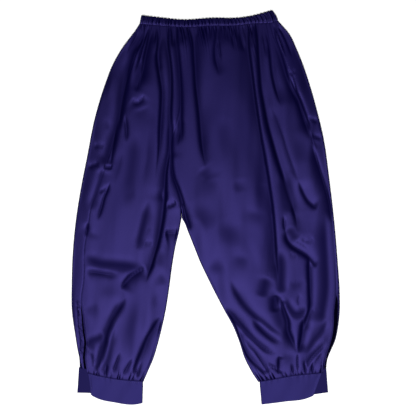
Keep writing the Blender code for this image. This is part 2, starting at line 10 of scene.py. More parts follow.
import bpy
import numpy as np
from bpy.props import FloatProperty, FloatVectorProperty, IntProperty, PointerProperty
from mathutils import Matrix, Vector

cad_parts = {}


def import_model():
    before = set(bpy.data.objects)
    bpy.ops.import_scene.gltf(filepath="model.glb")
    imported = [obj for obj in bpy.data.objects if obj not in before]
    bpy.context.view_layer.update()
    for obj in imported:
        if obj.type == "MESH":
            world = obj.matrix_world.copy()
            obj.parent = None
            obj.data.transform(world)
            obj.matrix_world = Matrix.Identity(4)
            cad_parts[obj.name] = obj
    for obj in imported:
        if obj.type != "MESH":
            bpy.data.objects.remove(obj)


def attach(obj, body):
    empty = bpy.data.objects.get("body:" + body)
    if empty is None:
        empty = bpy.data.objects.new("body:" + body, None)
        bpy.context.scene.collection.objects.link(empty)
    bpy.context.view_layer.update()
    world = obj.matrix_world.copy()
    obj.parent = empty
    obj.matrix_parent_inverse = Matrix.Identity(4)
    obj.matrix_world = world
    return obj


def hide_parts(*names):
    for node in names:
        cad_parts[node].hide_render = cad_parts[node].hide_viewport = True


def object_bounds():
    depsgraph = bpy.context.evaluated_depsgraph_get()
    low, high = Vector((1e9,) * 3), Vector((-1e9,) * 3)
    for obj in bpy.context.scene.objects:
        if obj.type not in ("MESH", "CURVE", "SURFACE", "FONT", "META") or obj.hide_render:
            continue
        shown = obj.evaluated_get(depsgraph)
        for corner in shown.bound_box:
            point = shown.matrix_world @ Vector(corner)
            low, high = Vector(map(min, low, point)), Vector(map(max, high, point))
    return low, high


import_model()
CAD_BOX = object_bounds()

bl_info = {
    "name": "Gathered satin trousers",
    "version": (1, 0, 0),
    "blender": (4, 5, 0),
    "location": "3D View > Sidebar > Trousers",
    "description": "Models loose satin trousers with an elastic waist and ankle cuffs, laid flat",
    "category": "Add Mesh",
}

MM = 0.001
LENGTH = (CAD_BOX[1][1] - CAD_BOX[0][1]) / MM

# Walls and gaps of the solids that the cloth follows. The cloth itself is closed at its seams.
WALL = 1.1
CUFF_WALL = 2.0
BAND_WALL = 2.4
SEAM_GAP = 0.0
LAYER_GAP = 0.6
EDGE_ROUND = 3.0
CUFF_ROUND = 1.6
BAND_ROUND = 1.7
CROTCH_DROP = 519.0
CROTCH_ACROSS = -60.0
PINCH_LENGTH = 36.0
# Heights of the cloth: on the floor, at its lowest on top, there at the cuffs, and at its outer edges.
# Then its loft above those edges, and how far in from them the loft and the folds rise.
FLOOR = WALL / 2
LOWEST = 1.3
LOWEST_AT_CUFF = CUFF_WALL + LAYER_GAP + WALL / 2
EDGE_HEIGHT = 5.2
PUFF = 4.2
PUFF_REACH = 48.0
FADE_REACH = 9.0
BAND_BACK = BAND_WALL / 2
BAND_FRONT = 4.6
CUFF_BACK = CUFF_WALL / 2
CUFF_FRONT = 4.2
SLIT_SHARE = 0.78

# Outline of both legs: drop, across
LEFT_OUTER = (
    (20, -163.5), (32, -165.5), (48, -175), (68, -190), (88, -205), (128, -229), (188, -253), (268, -277),
    (368, -297), (428, -309), (528, -325), (588, -331), (688, -335), (748, -334.5), (808, -326.5),
    (848, -320), (868, -316), (900, -315), (940, -317),
)
RIGHT_OUTER = (
    (16, 174), (24, 180), (38, 192), (54, 206), (68, 215), (88, 224), (148, 248), (188, 261), (268, 283),
    (308, 292.5), (428, 310), (528, 321.5), (628, 330), (708, 335), (748, 335), (788, 331), (828, 322),
    (848, 313), (868, 305), (900, 301), (940, 303),
)
LEFT_INNER = (
    (519, -60.2), (528, -62), (548, -65.5), (588, -75), (628, -82), (708, -93), (748, -99.5), (788, -108),
    (828, -118), (868, -130), (908, -147), (930, -156), (970, -157),
)
RIGHT_INNER = (
    (519, -59.8), (528, -54), (548, -46), (588, -30), (628, -14), (668, 5), (708, 25), (748, 46), (788, 68),
    (828, 84), (868, 97), (908, 118), (930, 132), (970, 138),
)
# Centre front seam, from the waistband to the crotch: drop, across
CENTRE_FRONT = (
    (30, -79), (84, -69), (134, -65), (204, -62), (246, -64), (290, -75), (330, -86), (374, -86), (406, -82),
    (444, -71), (486, -61), (519, -60),
)
# Side seams, which end in an opening above each cuff: drop, across
LEFT_SEAM = (
    (20, -157), (40, -161), (86, -168), (139, -184), (194, -202), (241, -212), (274, -219), (349, -237),
    (394, -252), (454, -272), (491, -286), (549, -295), (579, -301), (674, -305), (724, -311), (761, -306.5),
    (794, -303), (829, -298), (869, -301), (894, -297), (930, -293),
)
RIGHT_SEAM = (
    (20, 158), (40, 164), (86, 178), (151, 201), (179, 208), (216, 221), (256, 240), (294, 256), (361, 275),
    (421, 291), (469, 305), (524, 315), (604, 323), (660, 324.5), (700, 325.5), (753, 320), (785, 319),
    (810, 316), (836, 309.5), (858, 302), (881, 297), (930, 289),
)
# How wide each opening gapes: drop, width
LEFT_OPENING = ((724, 1), (761, 3), (829, 5), (869, 5), (930, 9))
RIGHT_OPENING = ((702, 3), (753, 9), (785, 9), (836, 7), (858, 4), (881, 4), (930, 8))
OPENING_START = 25.0
# The waistband's two ends: share of the way down, across
BAND_LEFT_END = ((0, -161), (0.5, -163), (1, -165.5))
BAND_RIGHT_END = ((0, 168.5), (0.4, 175.5), (0.8, 179.5), (1, 181))
# Edges that run across the garment: across, drop
BAND_TOP = (
    (-163, 11.5), (-110, 18), (-57, 23), (16, 18.5), (83, 18), (116, 13), (150, 4), (163, 0.3), (174, 2),
)
BAND_BOTTOM = (
    (-330, 33), (-163, 33), (-110, 37.5), (-49, 41), (16, 37.5), (73, 37), (120, 32), (150, 31), (166, 29.5),
    (176, 26), (184, 23.5), (200, 22),
)
LEFT_GATHER = ((-340, 898), (-293, 906), (-277, 910), (-226, 920), (-156, 926), (-60, 928))
LEFT_BACK_GATHER = ((-340, 886), (-317, 891), (-155, 926), (-60, 928))
RIGHT_GATHER = ((-60, 928), (137, 926), (226, 911), (288, 905), (330, 898))
RIGHT_BACK_GATHER = ((-60, 928), (137, 926), (301, 893), (330, 887))

# Cuffs: free ends and inner edge are drop, across. Top and bottom edges are across, drop.
CUFFS = {
    "cuff_left": {
        "side": -1,
        "front_end": ((890, -296), (918, -291), (958, -286.5)),
        "back_end": ((880, -316.5), (926, -319), (955, -321)),
        "inner_end": ((920, -155.2), (985, -157.2)),
        "front_top": LEFT_GATHER,
        "back_top": LEFT_BACK_GATHER,
        "front_bottom": (
            (-290, 955), (-284, 961), (-274, 966.5), (-226, 978.5), (-176, 983.5), (-155, 979.5),
        ),
        "back_bottom": ((-322, 954.5), (-286, 955.5), (-155, 979)),
    },
    "cuff_right": {
        "side": 1,
        "front_end": ((890, 289), (905, 288), (930, 280), (966, 267)),
        "back_end": ((880, 300.5), (955, 306)),
        "inner_end": ((920, 133), (985, 138.8)),
        "front_top": RIGHT_GATHER,
        "back_top": RIGHT_BACK_GATHER,
        "front_bottom": ((137, 983.7), (196, 976.5), (256, 967), (272, 960)),
        "back_bottom": ((137, 983), (262, 960), (308, 953.5)),
    },
}

# Folds, a row for each: height in mm (valleys are below nought), width to the left of the line, width to
# its right, share of its length over which it rises, share over which it fades, then the line itself as
# across, drop. Left and right are taken looking down the garment, so they swap on lines that run upwards.
WAIST_FOLDS = (
    (-4.5, 5, 4, 0, 0.4, ((-153, 36), (-157, 60), (-164, 82), (-174, 104))),
    (-4.0, 3, 3, 0, 0.3, ((-143, 44), (-150, 62), (-157, 86), (-164, 112), (-171, 138), (-180, 162))),
    (-7.8, 4.8, 15, 0, 0.25, ((-134, 38), (-138, 54), (-143, 78), (-149, 105), (-154, 130), (-159, 160),
        (-163, 190))),
    (-3.0, 8, 7, 0.3, 0.3, ((-161, 146), (-167, 175), (-174, 204))),
    (-4.5, 13, 13, 0.25, 0.35, ((-160, 120), (-168, 160), (-177, 202))),
    (-3.2, 4, 4, 0, 0.4, ((-126, 40), (-127, 60), (-130, 84))),
    (-7.6, 4, 14, 0, 0.3, ((-116, 36), (-114, 60), (-117, 85), (-120, 108), (-118, 138), (-113, 170),
        (-109, 200), (-110, 240), (-113, 290), (-115, 340), (-120, 385), (-127, 425))),
    (-3.2, 7, 6, 0.3, 0.3, ((-119, 96), (-119, 122), (-113, 152))),
    (-2.4, 3, 3, 0, 0.5, ((-106, 38), (-105, 56), (-104, 78))),
    (-7.3, 13, 4, 0, 0.05, ((-97, 42), (-97, 70), (-95, 95), (-90, 128), (-87, 165), (-87, 210), (-89, 250),
        (-88, 300), (-90, 345), (-96, 380), (-100, 405), (-102, 440), (-104, 480))),
    (-5.5, 4, 9, 0, 0.4, ((-84, 40), (-82, 65), (-82, 94))),
    (-5.6, 13, 5, 0, 0.15, ((-75, 40), (-74, 75), (-70, 105), (-67, 135), (-64, 170), (-62, 210),
        (-62, 250), (-64, 285), (-67, 312), (-73, 340))),
    (-2.2, 3, 3, 0, 0.5, ((-64, 42), (-62, 62), (-60, 84))),
    (-2.6, 3, 3, 0, 0.5, ((-52, 42), (-50, 60), (-48, 74))),
    (-7.8, 5.6, 18, 0, 0.25, ((-42, 40), (-34, 62), (-30, 85), (-28, 120), (-26, 150), (-24, 185),
        (-20, 220), (-16, 255), (-12, 300), (-8, 340), (-2, 375), (4, 405))),
    (-3.0, 3, 3, 0, 0.5, ((-21, 40), (-22, 54), (-25, 70))),
    (-2.0, 3, 3, 0, 0.5, ((-6, 40), (-7, 54), (-8, 70))),
    (-2.6, 3, 3, 0, 0.5, ((13, 38), (12, 54), (10, 74))),
    (-5.0, 6, 12, 0, 0.4, ((30, 40), (28, 68), (24, 95), (25, 120), (31, 145), (36, 165))),
    (-2.6, 3, 3, 0.2, 0.4, ((31, 72), (34, 98), (38, 128))),
    (-2.6, 2.5, 2.5, 0, 0.5, ((47, 38), (48, 56), (50, 76))),
    (-2.2, 2.5, 2.5, 0, 0.5, ((56, 38), (56, 58), (58, 82))),
    (-3.4, 4, 4, 0, 0.5, ((67, 38), (68, 70), (72, 100))),
    (-2.6, 3, 3, 0, 0.5, ((77, 38), (78, 56), (80, 76))),
    (-5.0, 10, 4, 0, 0.4, ((85, 38), (88, 60), (93, 84), (97, 104))),
    (-7.2, 24, 3.6, 0, 0.1, ((104, 42), (105, 90), (110, 130), (116, 175), (122, 225), (128, 265),
        (134, 305), (141, 345), (148, 385), (154, 420), (159, 455), (164, 490), (167, 520), (170, 555),
        (172, 590), (175, 620), (178, 650), (179, 690))),
    (-3.2, 3, 3, 0, 0.4, ((115, 36), (115, 60), (117, 96))),
    (-9.0, 5.2, 24, 0, 0.2, ((130, 36), (132, 75), (134, 115), (137, 155), (140, 195), (146, 228),
        (151, 256), (158, 290), (166, 320), (175, 352), (184, 382), (193, 410), (201, 440), (210, 470),
        (220, 500), (227, 530), (230, 562))),
    (-4.0, 3, 8, 0, 0.4, ((140, 34), (144, 62), (148, 92), (150, 120))),
    (-7.8, 4.4, 18, 0, 0.3, ((151, 34), (157, 66), (161, 95), (164, 125), (167, 155), (173, 185),
        (181, 215), (190, 242))),
    (-2.2, 12, 28, 0.45, 0.45, ((178, 182), (185, 208), (193, 235))),
    (-7.4, 16, 5, 0, 0.15, ((160, 34), (168, 62), (177, 85), (184, 104), (190, 124), (196, 145), (202, 166),
        (212, 190), (223, 208), (233, 225), (240, 248), (247, 272), (254, 298), (262, 326))),
    (-3.4, 3.5, 3.5, 0, 0.4, ((172, 42), (184, 66), (193, 92), (203, 120))),
    (-3.0, 4, 4, 0, 0.4, ((186, 46), (197, 66), (208, 92), (216, 118))),
    (-2.1, 3, 3, 0.3, 0.2, ((219, 158), (221, 180), (226, 204))),
    (-1.4, 3, 4, 0.3, 0.3, ((203, 148), (214, 158), (226, 146))),
)
BODY_FOLDS = (
    (-3.0, 4, 6, 0, 0.4, ((-158, 40), (-168, 58), (-178, 76), (-190, 98))),
    (-2.6, 4, 6, 0.1, 0.4, ((-166, 56), (-184, 84), (-198, 110))),
    (-8.3, 16, 9, 0.1, 0.08, ((-148, 42), (-158, 64), (-172, 86), (-184, 104), (-190, 126), (-197, 150),
        (-203, 185), (-209, 215), (-214, 245), (-222, 282), (-235, 325), (-245, 358), (-251, 390))),
    (-3.8, 6, 7, 0.3, 0.2, ((-187, 100), (-196, 140), (-204, 180), (-210, 220), (-214, 262), (-217, 300))),
    (-3.6, 2.5, 9, 0.3, 0.3, ((-256, 391), (-243, 392), (-228, 388))),
    (-3.4, 8, 6, 0.3, 0.1, ((-224, 292), (-229, 325), (-234, 356), (-238, 386))),
    (-4.2, 9, 16, 0.1, 0.3, ((-258, 396), (-264, 425), (-272, 450), (-281, 475), (-288, 500))),
    (-3.4, 5, 4, 0.2, 0.3, ((-238, 430), (-246, 448), (-254, 468), (-259, 488), (-265, 508), (-270, 524))),
    (-2.6, 4, 6, 0.3, 0.3, ((-268, 452), (-256, 448), (-242, 440))),
    (-3.4, 5, 5, 0.35, 0.35, ((-202, 256), (-199, 282), (-197, 305), (-196, 328))),
    (-1.9, 25, 9, 0.45, 0.45, ((-203, 345), (-213, 372), (-222, 402), (-230, 436))),
    (-3.4, 10, 5, 0.3, 0.3, ((-186, 220), (-173, 229), (-161, 224), (-152, 210))),
    (-2.2, 25, 9, 0.45, 0.45, ((-188, 250), (-168, 254), (-150, 248), (-134, 236))),
    (-2.3, 9, 23, 0.45, 0.45, ((-142, 280), (-142, 325), (-144, 365), (-150, 405), (-150, 440))),
    (-3.6, 22, 14, 0.3, 0.4, ((-176, 300), (-180, 360), (-190, 430), (-200, 500))),
    (-2.0, 16, 30, 0.45, 0.45, ((-208, 452), (-190, 456), (-170, 456))),
    (-5.4, 9, 20, 0.3, 0.2, ((-140, 470), (-147, 498), (-153, 522), (-159, 545), (-165, 568), (-171, 600))),
    (-8.1, 16, 4.8, 0.1, 0.25, ((-102, 440), (-104, 480), (-108, 515), (-113, 545), (-119, 575),
        (-127, 605), (-135, 632), (-143, 655), (-151, 682))),
    (-5.0, 5, 10, 0.3, 0.2, ((-85, 270), (-86, 305), (-87, 340), (-86, 372))),
    (-5.0, 8, 4, 0.1, 0.1, ((-86, 350), (-85, 385), (-80, 416), (-69, 444), (-60, 470), (-55, 492))),
    (-3.4, 4, 5, 0.3, 0.45, ((-61, 266), (-61, 296), (-60, 330))),
    (-4.6, 5, 5, 0.2, 0.2, ((-58, 478), (-53, 502), (-47, 526), (-41, 548))),
    (-3.6, 4, 8, 0.3, 0.2, ((-99, 484), (-88, 486), (-72, 477))),
    (-3.6, 14, 26, 0.3, 0.4, ((-14, 396), (0, 412), (8, 428))),
    (-2.4, 25, 16, 0.45, 0.45, ((-26, 418), (-6, 428), (16, 431), (38, 432))),
    (-2.9, 15, 30, 0.45, 0.45, ((-36, 476), (-18, 502), (0, 524), (18, 548))),
    (-2.9, 21, 30, 0.45, 0.45, ((44, 516), (52, 546), (66, 566), (72, 596))),
    (-1.9, 16, 28, 0.45, 0.45, ((42, 260), (42, 290), (44, 330), (54, 374))),
    (-1.7, 10, 21, 0.45, 0.45, ((76, 420), (80, 436), (82, 456))),
    (-1.9, 23, 12, 0.45, 0.45, ((122, 440), (144, 443), (160, 447))),
    (-2.3, 22, 15, 0.45, 0.45, ((86, 500), (112, 510), (138, 514), (162, 510))),
    (-2.6, 25, 15, 0.45, 0.45, ((62, 614), (88, 624), (116, 624))),
    (-2.6, 16, 25, 0.45, 0.45, ((4, 634), (26, 642), (52, 636))),
    (-2.0, 25, 30, 0.45, 0.45, ((78, 190), (84, 260), (96, 340), (104, 400))),
    (1.2, 20, 18, 0.45, 0.45, ((16, 230), (24, 300), (36, 370))),
    (-5.0, 13, 18, 0.3, 0.2, ((192, 410), (198, 440), (205, 472), (212, 505))),
    (-3.8, 14, 6, 0.2, 0.2, ((160, 235), (170, 262), (180, 292), (190, 318), (198, 345), (208, 375),
        (220, 403), (233, 428))),
    (-5.0, 6, 18, 0.25, 0.2, ((230, 424), (239, 444), (247, 461), (256, 475), (267, 485), (280, 494))),
    (-2.4, 16, 30, 0.45, 0.45, ((226, 300), (236, 345), (246, 385))),
    (-4.3, 14, 4.5, 0.2, 0.15, ((262, 326), (270, 352), (278, 376), (285, 398), (292, 420), (300, 446),
        (307, 474), (312, 500), (316, 530))),
    (-5.0, 10, 5, 0.2, 0.2, ((206, 165), (217, 190), (228, 214), (240, 242), (253, 274), (263, 302))),
    (-1.4, 9, 9, 0.45, 0.45, ((266, 316), (274, 332), (284, 345))),
    (-2.2, 5, 5, 0.3, 0.3, ((254, 268), (267, 272), (282, 277))),
    (-2.2, 4, 7, 0.3, 0.3, ((262, 312), (276, 315), (292, 320))),
    (-1.2, 9, 9, 0.45, 0.45, ((-252, 264), (-245, 284), (-240, 300))),
    (-2.2, 6, 7, 0.3, 0.3, ((-296, 392), (-280, 385), (-262, 380))),
    (-1.8, 7, 7, 0.3, 0.3, ((-282, 340), (-266, 336), (-250, 340))),
    (1.4, 9, 9, 0.45, 0.45, ((-226, 150), (-238, 190), (-248, 235))),
)
LEFT_LEG_FOLDS = (
    (-1.7, 9, 9, 0.45, 0.45, ((-316, 554), (-302, 546), (-292, 556), (-276, 562), (-260, 570))),
    (-3.0, 4, 4, 0.3, 0.3, ((-294, 528), (-297, 545), (-296, 562))),
    (-6.4, 12, 15, 0.25, 0.3, ((-302, 606), (-287, 622), (-262, 631), (-232, 634), (-200, 637), (-172, 640),
        (-150, 634))),
    (-4.6, 10, 6, 0.25, 0.3, ((-300, 650), (-282, 651), (-260, 654), (-238, 658), (-212, 662))),
    (-7.2, 5.6, 16, 0.2, 0.25, ((-150, 639), (-165, 648), (-178, 656), (-190, 666), (-202, 680),
        (-213, 694))),
    (-0.9, 9, 9, 0.45, 0.45, ((-152, 544), (-142, 546), (-130, 543))),
    (-1.8, 7, 7, 0.3, 0.3, ((-152, 578), (-142, 581), (-130, 578))),
    (-4.6, 18, 5, 0.25, 0.2, ((-102, 556), (-86, 553), (-68, 552))),
    (-2.4, 13, 23, 0.45, 0.45, ((-112, 592), (-115, 618), (-122, 642))),
    (-2.3, 21, 12, 0.45, 0.45, ((-122, 658), (-109, 670), (-104, 688))),
    (-1.1, 9, 9, 0.45, 0.45, ((-88, 570), (-92, 600), (-96, 626))),
    (-0.9, 10, 10, 0.45, 0.45, ((-118, 698), (-124, 722), (-122, 744))),
    (-6.0, 9, 7.5, 0.2, 0.1, ((-197, 718), (-208, 730), (-218, 742), (-228, 757), (-236, 770), (-242, 785),
        (-248, 800), (-252, 820), (-257, 840), (-262, 860), (-270, 882), (-280, 902))),
    (-3.4, 12, 8, 0.3, 0.15, ((-225, 788), (-231, 815), (-237, 840), (-244, 865), (-251, 885),
        (-257, 904))),
    (-3.2, 4, 9, 0.3, 0.2, ((-212, 850), (-219, 870), (-226, 888), (-232, 904))),
    (-3.0, 23, 17, 0.45, 0.45, ((-166, 688), (-174, 730), (-181, 765), (-189, 800), (-192, 840),
        (-190, 874))),
    (-6.9, 5.6, 16, 0.2, 0.1, ((-112, 763), (-122, 780), (-133, 799), (-143, 815), (-150, 830), (-156, 846),
        (-165, 866), (-173, 886), (-182, 908))),
    (-3.0, 4, 7, 0.3, 0.15, ((-184, 868), (-194, 888), (-205, 908))),
    (-5.4, 18, 10, 0.15, 0.3, ((-300, 834), (-285, 823), (-266, 816), (-250, 806))),
    (-2.4, 7, 7, 0.3, 0.3, ((-289, 852), (-283, 872), (-280, 892))),
    (-1.9, 23, 12, 0.45, 0.45, ((-302, 757), (-285, 744), (-262, 735))),
    (-1.7, 16, 28, 0.45, 0.45, ((-276, 706), (-242, 700), (-212, 704))),
    (1.5, 6, 7, 0.25, 0.15, ((-206, 750), (-224, 782), (-237, 820), (-247, 860), (-257, 895))),
    (1.4, 14, 14, 0.45, 0.45, ((-282, 690), (-270, 740), (-262, 790))),
    (1.3, 12, 12, 0.45, 0.45, ((-212, 770), (-214, 820), (-216, 850))),
    (1.8, 7, 7, 0.3, 0.1, ((-262, 872), (-264, 890), (-268, 905))),
    (-3.0, 3, 4, 0.3, 0.1, ((-246, 884), (-250, 896), (-252, 910))),
    (-3.0, 3, 4, 0.3, 0.1, ((-160, 876), (-166, 894), (-170, 914))),
)
RIGHT_LEG_FOLDS = (
    (-6.0, 13, 12, 0.25, 0.2, ((184, 596), (188, 636), (188, 676), (190, 706))),
    (-6.0, 14, 18, 0.3, 0.25, ((152, 664), (146, 688), (141, 716))),
    (-6.5, 6, 16, 0.15, 0.15, ((199, 548), (202, 566), (207, 577), (216, 587), (228, 595), (240, 602),
        (252, 610), (262, 620), (271, 631), (279, 641))),
    (-1.7, 5, 6, 0.3, 0.3, ((212, 570), (228, 578), (244, 587), (256, 599))),
    (-2.8, 9, 21, 0.45, 0.45, ((222, 504), (226, 522), (228, 546), (228, 562))),
    (-1.8, 5, 10, 0.3, 0.3, ((234, 568), (254, 577), (273, 567))),
    (-2.6, 3, 4, 0.3, 0.3, ((196, 512), (196, 532), (198, 552))),
    (-0.9, 8, 6, 0.3, 0.3, ((206, 604), (218, 610), (230, 612))),
    (-7.0, 5, 12, 0.1, 0.15, ((258, 616), (259, 650), (260, 680), (261, 710), (262, 735), (257, 758),
        (249, 780), (244, 800))),
    (-2.5, 14, 9, 0.25, 0.2, ((261, 744), (272, 753), (285, 742))),
    (-7.4, 24, 11, 0.2, 0.15, ((296, 496), (295, 560), (298, 620), (300, 680), (297, 716), (291, 752),
        (287, 786))),
    (-5.5, 18, 8, 0.25, 0.4, ((304, 770), (291, 796), (273, 818), (259, 840), (248, 860))),
    (-4.0, 12, 5, 0.25, 0.2, ((302, 828), (286, 845), (271, 860), (259, 876), (250, 892))),
    (-2.4, 6, 6, 0.3, 0.3, ((294, 850), (281, 870), (265, 892))),
    (-4.8, 8, 12, 0.25, 0.2, ((62, 670), (72, 694), (86, 716), (102, 738), (122, 758), (146, 778),
        (172, 798), (198, 812))),
    (-5.5, 7, 8, 0.2, 0.2, ((46, 738), (62, 757), (78, 777), (94, 796), (112, 814), (132, 832), (154, 848),
        (182, 858))),
    (-5.5, 7, 10, 0.25, 0.35, ((116, 772), (130, 785), (145, 800), (160, 813), (176, 823), (196, 831))),
    (-5.0, 5, 13, 0.15, 0.1, ((76, 784), (84, 812), (94, 838), (104, 858), (118, 876), (136, 893),
        (152, 906))),
    (-4.0, 5, 12, 0.25, 0.15, ((92, 816), (108, 834), (124, 850), (138, 872), (150, 892), (158, 906))),
    (-4.0, 22, 12, 0.3, 0.3, ((160, 690), (172, 730), (184, 770), (196, 812))),
    (-3.6, 3, 3, 0.3, 0.3, ((154, 883), (167, 889), (181, 894))),
    (-5.6, 4, 12, 0.2, 0.1, ((184, 864), (184, 882), (181, 904))),
    (-2.3, 25, 14, 0.45, 0.45, ((184, 866), (206, 868), (228, 866))),
    (-8.5, 14, 6, 0.15, 0.35, ((185, 720), (191, 737), (198, 757), (204, 777), (205, 798), (212, 817),
        (221, 837), (229, 858))),
    (-8.5, 6, 14, 0.3, 0.35, ((244, 770), (243, 790), (240, 815), (236, 836), (231, 858))),
    (-2.0, 3, 3, 0.2, 0.2, ((230, 856), (229, 878), (230, 900))),
    (-6.0, 10, 10, 0.2, 0.25, ((199, 720), (208, 740), (222, 755), (239, 754), (252, 736))),
    (-1.4, 5, 5, 0.3, 0.3, ((236, 706), (232, 722), (230, 736))),
    (-2.5, 18, 10, 0.45, 0.45, ((206, 676), (222, 685), (236, 680), (244, 664))),
    (-8.0, 11, 11, 0.15, 0.15, ((173, 712), (173, 730), (174, 752))),
    (-7.0, 5, 5, 0.15, 0.15, ((174, 712), (174, 730), (176, 750))),
    (-4.5, 14, 16, 0.3, 0.3, ((208, 540), (216, 558), (228, 574))),
    (1.6, 4, 4, 0.3, 0.3, ((188, 757), (188, 738), (191, 722), (202, 726), (210, 744))),
    (-3.0, 3, 3.5, 0.3, 0.1, ((213, 880), (216, 894), (218, 908))),
    (-3.0, 3, 3.5, 0.3, 0.1, ((246, 874), (248, 890), (250, 906))),
    (-3.4, 3, 3.5, 0.3, 0.1, ((268, 878), (266, 892), (268, 906))),
    (1.6, 16, 16, 0.45, 0.45, ((60, 712), (90, 752), (124, 784))),
    (1.4, 14, 14, 0.45, 0.45, ((112, 540), (124, 590), (134, 640))),
)
FOLDS = WAIST_FOLDS + BODY_FOLDS + LEFT_LEG_FOLDS + RIGHT_LEG_FOLDS
FOLD_STEPS = 32
# How far before its first point a fold starts to rise, as a share of its length
FOLD_START = -0.02
# How far from its line, in millimetres, a fold has turned from one width to the other
FLANK_BLEND = 1.5
# Narrow valleys end in a crease, and wide valleys and ridges are rounded
CREASE_SHARPNESS = 1.05
ROUND_SHARPNESS = 1.9
CREASE_WIDTH = 5.0
# A fold this deep has the darkest crease, and how far that crease's shade reaches, in millimetres
DEEP_FOLD = 6.0
CREASE_REACH = 1.1
# How far the shade along the waistband and the cuffs reaches, in millimetres
SEAM_SHADE_REACH = 3.0
# A wide fold's share of its height, and its shade's reach as a share of its width
ROUND_DEPTH = 0.5
ROUND_REACH = 0.75
ROUND_WIDTH = 13.0
# How far a fold reaches, in its own widths, and how valleys that cross stay about as deep as the deepest
FOLD_REACH = 3.5
VALLEY_CROWDING = 1.25

# Long faint waves of the cloth: height, wavelength across, wavelength along the garment, phase
DRIFTS = (
    (0.45, 74, 460, 0.3), (0.4, 51, -330, 1.7), (0.5, 120, 230, 4.0), (0.15, 31, 520, 2.2),
    (0.7, 160, -210, 5.1),
)
# These waves swell and fade over these lengths across and down
SWELL_ACROSS = 97.0
SWELL_DOWN = 143.0

# The front's loft starts outside the garment's edge, and reaches a little further in from a gathered edge
LOFT_START = -14.0
LOFT_AT_GATHERS = 0.9
# Folds fade between these distances from the cuff's top edge and the waistband's lower edge
FADE_AT_CUFF = -2.0
FADE_AT_BAND = -30.0
FADE_END_AT_BAND = 3.0
# The cloth's lowest place rises onto the cuff's back layer between these distances from the cuff
CUFF_LIFT_START = 70.0
CUFF_LIFT_END = 40.0
# How tightly the cloth turns where it touches the layer below
TOUCH_SHARPNESS = 1.6

# Groove along a seam: its depth and width, and the waves in which its stitches pucker it
SEAM_DIP = 0.4
SEAM_DIP_WIDTH = 2.2
PUCKER_SHARE = 0.25
PUCKER_LENGTH = 2.1
PUCKER_DRIFT = 23.0

# Turned hem of a side opening: how far above and below the opening's start it rises, its width with and
# without its sloping edge, its height, and the rucks along its middle
HEM_ABOVE = 8.0
HEM_BELOW = 16.0
HEM_WIDTH = 11.0
HEM_FLAT_WIDTH = 7.0
HEM_HEIGHT = 0.6
RUCK_HEIGHT = 1.5
RUCK_LENGTH = 1.25
RUCK_UNEVENNESS = 2.2
RUCK_DRIFT = 9.0
RUCK_LINE = 6.0
RUCK_WIDTH = 5.0

# A small pleat: a lower crown gives sharper notches between pleats, and the notch is how deep they go. Each
# pleat's height is the least share and part of the spread, and it fades away from its edge by a power.
PLEAT_CROWN = 0.6
PLEAT_NOTCH = 0.62
PLEAT_LEAST = 0.25
PLEAT_SPREAD = 1.1
PLEAT_FADE = 1.4
PLEAT_MARGIN = 0.02
# Unevenness of the pleats' widths: share of a pleat, waves along the edge, share of the seed in the phase
PLEAT_UNEVENNESS = ((0.35, 2.3, 1), (0.2, 5.1, 0))
# Shortest and longest reach of the pleats from their edge
WAIST_PLEAT_REACH = (7.0, 46.0)
CUFF_PLEAT_REACH = (4.0, 18.0)

# The cuff's front: a long wave, a rumple and the tucks along its top edge, each with its height and lengths
CUFF_WAVE = 0.35
CUFF_WAVE_ACROSS = 21.0
CUFF_WAVE_DOWN = 17.0
CUFF_RUMPLE = 0.22
CUFF_RUMPLE_ACROSS = 8.5
CUFF_RUMPLE_DOWN = 14.0
CUFF_TUCK = 0.35
CUFF_TUCK_LENGTH = 3.1
CUFF_TUCK_DRIFT = 13.0
CUFF_TUCK_FADE = 9.0
CUFF_MIDDLE_DROP = 940.0

# The casing's shirring: scallops of its top edge, fine ripples between the pleats with their share of the
# pleats' number, and how the ripples shrink towards its long edges
BAND_SCALLOP = 0.55
BAND_FINE = 0.2
BAND_FINE_RATE = 1.7
BAND_FINE_UNEVENNESS = 3.0
BAND_FINE_DRIFT = 19.0
BAND_PLEAT_SEED = 11
BAND_CROWN = 0.5
BAND_AT_EDGE = 0.3
BAND_EDGE_ROUND = 0.35
BAND_FACE_INSET = 0.25
# The two rows of stitches that hold the shirring down: by how much, and their share of the way down
CASING_ROWS = ((0.55, 0.84), (0.35, 0.12))
CASING_ROW_WIDTH = 0.07
# Share of its width over which the front of the casing or a cuff's wave dies out at its ends
END_MARGIN = 0.05

# Rounds in which a point that lies on two curves settles
SETTLE_ROUNDS = 12
CUFF_SETTLE_ROUNDS = 8
# Step in u and v by which a surface's direction is found
NORMAL_STEP = 1e-3
# Edges sharper than this angle in degrees stay sharp
SMOOTH_ANGLE = 60.0
# Numbers that scatter a whole number to a fixed uneven one
SCATTER_STEP = 12.9898
SCATTER_SEED = 78.233
SCATTER_SCALE = 43758.5453


